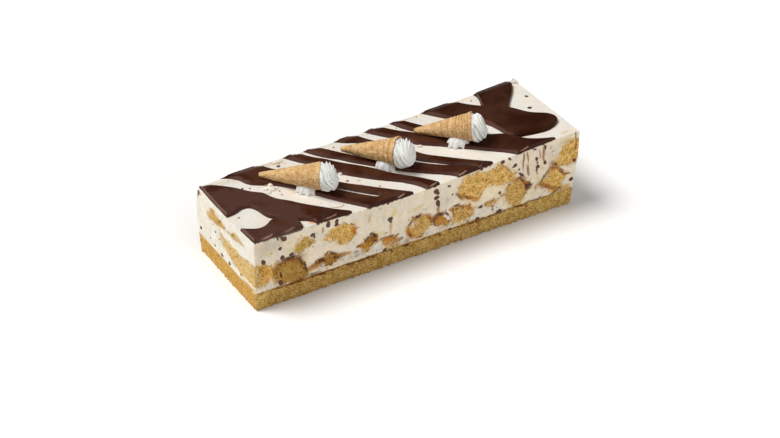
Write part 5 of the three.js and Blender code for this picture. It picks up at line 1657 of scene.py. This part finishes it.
def makeCone(name):
    spec, look = conePlaces[name], coneLook
    seed, length, wall = spec["seed"], spec["length"], look["wall"]
    angles, cosines, sines = around(look["around"])
    rows, shadeRows = [], []

    def put(radius, height, paintedShade):
        rows.append(np.stack([cosines * radius, height + 0 * angles, sines * radius], 1))
        shadeRows.append(paintedShade + 0 * angles)

    ragged = 1.3 * waves(cosines * 3, sines * 3, 0, 1.1, seed)
    ragged += 0.7 * waves(cosines * 6, sines * 6, 0, 0.9, seed + 1)
    for i in range(look["along"] + 1):
        share = i / look["along"]
        height = length * share
        radius = lerp(look["tip"], spec["radius"], share) + 0 * angles
        paintedShade = 0 * angles
        for place, depth in spec["rings"]:
            bent = 0.5 * waves(cosines * 2, sines * 2, place * 9, 1.2, seed)
            off = (height - place * length - bent) / look["ringWidth"]
            groove = np.exp(-off ** 2)
            radius = radius - depth * groove + 0.35 * depth * np.exp(-((off + 2.2) / 1.6) ** 2)
            # painted shade in the groove
            paintedShade = np.maximum(paintedShade, groove * min(0.8, depth * 1.9))
        radius = radius + spec["rolledRim"] * smoothStep(0.925, 0.955, share)
        seam = look["seam"] * (1 - smoothStep(0, 0.2, np.abs(angles - 2 - share * 0.6)))
        coarse, fine = (waves(cosines * radius, sines * radius, height, size, seed) for size in (3.4, 1.3))
        bumps = look["unevenness"] * (coarse + 0.6 * fine) * min(1, 0.4 + share)
        put(radius + seam + bumps, height + ragged * smoothStep(0.95, 1, share), paintedShade)
    edge = np.hypot(rows[-1][:, 0], rows[-1][:, 2])
    # painted shade round the inside of the rim, deepening into the mouth
    shadeRows[-1] = shadeRows[-1] + 0.3
    put(edge - 0.3, length + ragged + 0.15, 0.4)
    put(edge - wall * 0.8, length + ragged + 0.05, 0.5)
    put(edge - wall, length + ragged - 0.4, 0.7)
    put(edge - wall - 0.4, length - look["recess"], 0.9)
    rows.insert(0, rows[0] * [0.55, 1, 0.55] - [0, 0.5, 0])
    shadeRows.insert(0, shadeRows[0])
    made = turnedSolid("wafer_cone_" + name, rows, spec, shadeRows, "groove", waferFinish)
    return finishPiece(made, waferFinish, "wafer", 50, "cone_" + name)


def curveAt(xs, ys, x):
    # a smooth line through knots
    i = int(np.clip(np.searchsorted(xs, x) - 1, 0, len(xs) - 2))
    slope, span = np.gradient(ys, xs), xs[i + 1] - xs[i]
    t = (x - xs[i]) / span
    return ((2 * t ** 3 - 3 * t ** 2 + 1) * ys[i] + (t ** 3 - 2 * t ** 2 + t) * span * slope[i]
            + (3 * t ** 2 - 2 * t ** 3) * ys[i + 1] + (t ** 3 - t ** 2) * span * slope[i + 1])


def profileRows(knots, count):
    # heights and radii evenly spaced along a profile
    heights, radii = np.array(knots, float).T
    reach = np.concatenate([[0], np.cumsum(np.hypot(np.diff(heights), np.diff(radii)))])
    for i in range(count + 1):
        share = i / count
        at = reach[-1] * share
        yield share, curveAt(reach, heights, at), curveAt(reach, radii, at)


def starred(angles, lobes, depth, roundness=1.15):
    # ridges with round valleys, as a star nozzle leaves; also how deep each point lies
    valley = np.abs(np.sin(angles * lobes / 2))
    return 1 - depth * valley ** roundness, valley ** 2


def fluted(angles, lobes, depth):
    # round ridges with narrow valleys
    crest = np.abs(np.cos(angles * lobes / 2))
    return 1 - depth * (1 - crest ** 0.75), (1 - crest) ** 1.5


def makeSwirl(name):
    spec, look = conePlaces[name], swirlLook
    seed = spec["seed"] + 17
    inner = spec["radius"] - coneLook["wall"] - 0.5
    wide, long = spec["swirl"]
    knots = [(-coneLook["recess"] + 0.4, inner * 0.95), (-0.6, inner + 0.5)]
    knots += [(0.4, wide * 0.98), (1.3, wide * 1.04), (4, wide * 1.08)]
    knots += [(long - before, wide * share) for before, share in (
        (6.5, 1.05), (3.1, 0.86), (1, 0.52), (0, 0.12))]
    angles, cosines, sines = around(look["around"])
    shiftX, shiftZ = spec["swirlShift"]
    rows, deep = [], []
    for share, height, radius in profileRows(knots, look["along"]):
        bend, change = (waves(cosines * 2, sines * 2, share * 3, 1.6, seed + k) for k in (0, 7))
        turned = angles - look["twist"] * share + 0.42 * bend
        depth = look["depth"] * float(smoothStep(0.12, 0.3, share)) * (1 + 0.7 * change)
        ridge, valley = starred(turned, look["lobes"], depth, spec["ridge"])
        uneven = 1 + 0.035 * waves(cosines * 4, sines * 4, height, 3, seed)
        coil = np.exp(-((height - 5.5 - 3.5 * sines) / look["coilWidth"]) ** 2)
        across = radius * ridge * uneven * (1 - look["coilDepth"] * coil)
        past = max(0, height) / long
        lean = float(smoothStep(-1, 3, height))
        droop = look["droop"] * sines * smoothStep(3, 11, height) * across / radius
        rows.append(np.stack([cosines * across + shiftX * lean, height + spec["length"] + droop,
                              sines * across + look["sag"] * past ** 2 + shiftZ * lean], 1))
        # painted shade in the valleys and the coil groove
        deep.append(np.clip(valley * depth / look["depth"] + 0.5 * coil, 0, 1))
    made = turnedSolid("piped_swirl_" + name, rows, spec, deep, "valley", pipedFinish)
    settle(made)
    return finishPiece(made, pipedFinish, "piped_cream", 50, "cone_cream_" + name)


def settle(obj):
    # soft cream spreads where it meets what it lies on
    points = coordinates(obj)
    for point in points:
        place = restTree.ray_cast((point[0], point[1], overhead), (0, 0, -1))[0]
        floor = (place[2] if place is not None else float(top(point[0], point[1]))) + 0.1
        point[2] = max(point[2], floor)
    moveTo(obj, points)


def makeDollop(name):
    spec, look = dollopPlaces[name], dollopLook
    seed, lobes = spec["seed"], spec["lobes"]
    sizeX, sizeY, sizeZ = spec["size"]
    x, y = spec["at"]
    turn = math.radians(-spec["turn"])
    c, s = math.cos(turn), math.sin(turn)
    angles, cosines, sines = around(look["around"])
    rows, deep = [], []
    for share, height, radius in profileRows(look["profile"], look["along"]):
        bend, longer = (waves(cosines * 1.5, sines * 1.5, share * k, 1.2, seed + k) for k in (1, 0))
        turned = angles - look["twist"] * share + 0.2 * bend
        atFoot = float(smoothStep(0.34, 0.02, height))
        softRidge, softValley = fluted(turned, lobes, look["depth"])
        sharpRidge, sharpValley = starred(turned, lobes, look["depth"] + look["footDepth"] * atFoot)
        ridge = lerp(softRidge, sharpRidge, max(spec["starred"], atFoot))
        ridge = ridge * (1 + (0.1 + 0.22 * longer) * atFoot)
        u, v = cosines * radius * ridge * sizeX / 2, sines * radius * ridge * sizeY / 2
        level = float(top(x, y)) + height * sizeZ + 0 * u
        rows.append(np.stack([x + u * c - v * s, y + u * s + v * c, level], 1))
        # painted shade in the valleys
        deep.append(0.5 * lerp(softValley, sharpValley, spec["starred"]))
    made = turnedSolid("piped_dollop_" + name, rows, None, deep, "valley", pipedFinish)
    return finishPiece(made, pipedFinish, "piped_cream", 55, "dollop_" + name)


restTree = surfaceTree([cream, *bandPieces])
for name in conePlaces:
    makeCone(name)
    makeSwirl(name)
    makeDollop(name)
print("cones made")


# Small loose things: dabs of cream, crumbs and strings of caramel

# on the top: along, across, then half length, half width, half height, turn in degrees
creamDabs = [
    (-107.6, 12.4, 3.7, 3, 1.9, -30), (-103.6, 13.8, 2.5, 3.6, 2.1, -15), (-103.4, 8.8, 2.6, 2, 1.7, 30),
    (-108.7, 7.4, 2, 2.6, 1.6, 0), (-105.6, 10.6, 4.2, 3.6, 2.1, 0), (-101.5, 9.2, 2.6, 1.6, 0.9, 10),
    (147.4, 41, 2.6, 2.2, 2.9, 0), (146.4, 41.8, 1.3, 1.2, 4, 0), (149, 39.4, 1.4, 1.6, 2.6, 0),
    (-45.2, 3.4, 3, 1.3, 1.7, -35), (-42.6, 5.6, 0.9, 0.7, 2.6, -20), (-47.4, 1.6, 1.6, 0.9, 2.2, -35),
    (28.2, 3.4, 2.6, 1, 1.5, -15), (86.6, -12.4, 5.6, 1.5, 1, -38), (84, -10.6, 3.4, 1.6, 1.9, -38),
    (-82.5, 42.2, 4.5, 1.6, 0.7, 0),
]
caramelDabs = [
    (-106.8, 15.2, 2, 0.45, 2.15, -35), (-104.6, 11.4, 2.2, 0.5, 2.45, -10), (-108.4, 9.2, 1.6, 0.5, 2, 15),
    (-103.2, 8, 1.4, 0.45, 1.9, 50), (-101.6, 9.6, 1.2, 0.5, 0.9, 60),
]
# nubs of crumb and cream on the corner at the front right: along, across, up, radius
creamNubs = [(151, -46.9, 68.6, 1.25), (151.3, -46.8, 65.6, 1), (150.8, -46.8, 62.6, 0.9)]
crumbNubs = [(151.2, -46.9, 58.9, 1.15), (151, -46.8, 56.4, 0.8), (151.3, -46.9, 54, 1),
             (151, -46.8, 50.4, 0.9)]
# strings: points with along and up on the front, or along and across on the top, and a half width
strings = {
    "front": [
        ([(96, 68), (96.6, 63), (95.9, 57), (96.6, 52.5)], 0.5),
        ([(99.4, 68), (100.2, 64), (101.2, 58)], 0.36),
        ([(101, 54), (101.9, 50), (101.7, 46.5), (102.5, 44)], 0.55),
        ([(111.3, 66), (112.6, 61), (113.2, 57)], 0.4),
        ([(115.6, 68), (116.4, 63), (116.1, 58), (117.3, 54)], 0.7),
        ([(110.2, 46), (111.2, 43.5), (111.6, 41.5)], 0.3),
        ([(147.2, 72.5), (147.9, 67), (148.4, 62)], 0.3), ([(14.3, 44), (14.8, 40), (14.2, 37)], 0.5),
    ],
    "top": [([(-77, -32.6), (-74, -34.9), (-70, -36.4), (-66.4, -35.9), (-64.4, -33.6)], 0.26)],
}
stringLook = {"thinEnd": 0.6, "out": {"front": 0.02, "top": 0.05}}
crumbPlan = {"foot": 150, "faces": 260, "top": 36, "small": 0.35, "large": 0.95, "tries": 6000}


def makeDabs(name, dabs, material, slot, nubs=()):
    places, sizes, turns = [nub[:3] for nub in nubs], [(nub[3],) * 3 for nub in nubs], [(0, 0, 0)] * len(nubs)
    for x, y, length, width, height, turn in dabs:
        places.append(onFace("top", x, y, height * 0.25))
        sizes.append((length, width, height))
        turns.append((0, 0, math.radians(turn)))
    return pointsPiece(name, places, sizes, turns, material, slot, 0.5)


def makeStrings():
    points, edges, widths = [], [], []
    for face, lines in strings.items():
        for line, width in lines:
            for i, (along, other) in enumerate(line):
                points.append(onFace(face, along, other, stringLook["out"][face]))
                widths.append(width * mm * (stringLook["thinEnd"] if i in (0, len(line) - 1) else 1))
                if i:
                    edges.append((len(points) - 2, len(points) - 1))
    made = newObject("caramel_strings", points, [], edges=edges)
    store(made, "width", widths)
    runTree(made, stringsOfSauce, Flatness=1.0, Material=sauceFinish)
    return finishPiece(made, sauceFinish, "sponge", 60)


def makeCrumbs():
    plan = crumbPlan
    draw = random.Random(12)
    places, sizes, turns = [], [], []

    def put(place):
        places.append(place)
        size = draw.uniform(plan["small"], plan["large"]) ** 1.2
        sizes.append([size * draw.uniform(0.7, 1.2) for _ in range(3)])
        turns.append([draw.uniform(0, 6) for _ in range(3)])

    def anywhere(sides, low, high, sunk):
        side = draw.choice(sides)
        along = draw.uniform(-148, 147) if side in ("front", "back") else draw.uniform(-46, 43)
        return onFace(side, along, draw.uniform(low, high), -sunk)

    for _ in range(plan["foot"]):
        put(anywhere(("front", "front", "front", "back", "back", "left", "right"), 0.5, 2.2, 0.1))
    tries = 0
    while len(places) < plan["foot"] + plan["faces"] and tries < plan["tries"]:
        tries += 1
        place = anywhere(("front", "front", "front", "back", "left", "right"), 17, 62, 0.25)
        if 0.2 < spongeTree.find_nearest(place)[3] < draw.uniform(0.6, 3.2):  # near the cut sponge
            put(place)
    for _ in range(plan["top"]):
        put(onFace("top", draw.uniform(-146, 146), draw.uniform(36, 43.2), 0.1))
    for x, y, z, radius in crumbNubs:
        put((x, y, z))
        sizes[-1] = [radius] * 3
    return pointsPiece("sponge_crumbs", places, sizes, turns, crumbFinish, "sponge", 0.25)


spongeTree = surfaceTree(crumbPieces)
makeDabs("cream_dabs", creamDabs, dabFinish, "ice_cream", creamNubs)
makeDabs("caramel_dabs", caramelDabs, sauceFinish, "sponge")
makeStrings()
makeCrumbs()
print("crumbs and caramel made")


# Floor, light and camera

cameraLook = {
    "place": (-0.6487, -1.01465, 0.85236), "turn": (0.958113, -0.025875, -0.550549),
    "lens": 82.418, "sensor": 36,
}
# from: the way a light comes from; angle: how softly it shades, in degrees
lights = {
    "key": {"from": (-0.45, 0.25, 0.86), "angle": 28, "power": 2.75, "colour": (1, 0.985, 0.96)},
    "fill": {"from": (0.15, -0.75, 0.62), "angle": 60, "power": 0.92, "colour": (1, 1, 1)},
}
stageLook = {"floor": (0.97, 0.97, 0.97, 1), "halfWidth": 6000, "world": (1, 1, 1, 1), "worldStrength": 0.15}


def makeStage():
    reach = stageLook["halfWidth"]
    points = [(-reach, -reach, 0), (reach, -reach, 0), (reach, reach, 0), (-reach, reach, 0)]
    material = newMaterial("pale floor", 0.8, Specular_IOR_Level=0.1, Base_Color=stageLook["floor"])[0]
    newObject("floor", points, [[0, 1, 2, 3]], material)
    world = bpy.data.worlds.new("studio")
    bpy.context.scene.world = world
    world.use_nodes = True
    background = world.node_tree.nodes["Background"].inputs
    background["Color"].default_value = stageLook["world"]
    background["Strength"].default_value = stageLook["worldStrength"]
    for name, spec in lights.items():
        lamp = bpy.data.lights.new(name, "SUN")
        lamp.angle, lamp.energy, lamp.color = math.radians(spec["angle"]), spec["power"], spec["colour"]
        holder = bpy.data.objects.new(name, lamp)
        holder.location = Vector(spec["from"])
        holder.rotation_euler = Vector(spec["from"]).to_track_quat("Z", "Y").to_euler()
        bpy.context.scene.collection.objects.link(holder)


def makeCamera():
    data = bpy.data.cameras.new("camera")
    data.lens, data.sensor_width = cameraLook["lens"], cameraLook["sensor"]
    camera = bpy.data.objects.new("camera", data)
    camera.location = cameraLook["place"]
    camera.rotation_euler = cameraLook["turn"]
    bpy.context.scene.collection.objects.link(camera)
    bpy.context.scene.camera = camera


makeStage()
makeCamera()
bpy.context.scene.view_settings.view_transform = "Standard"
print("stage set")
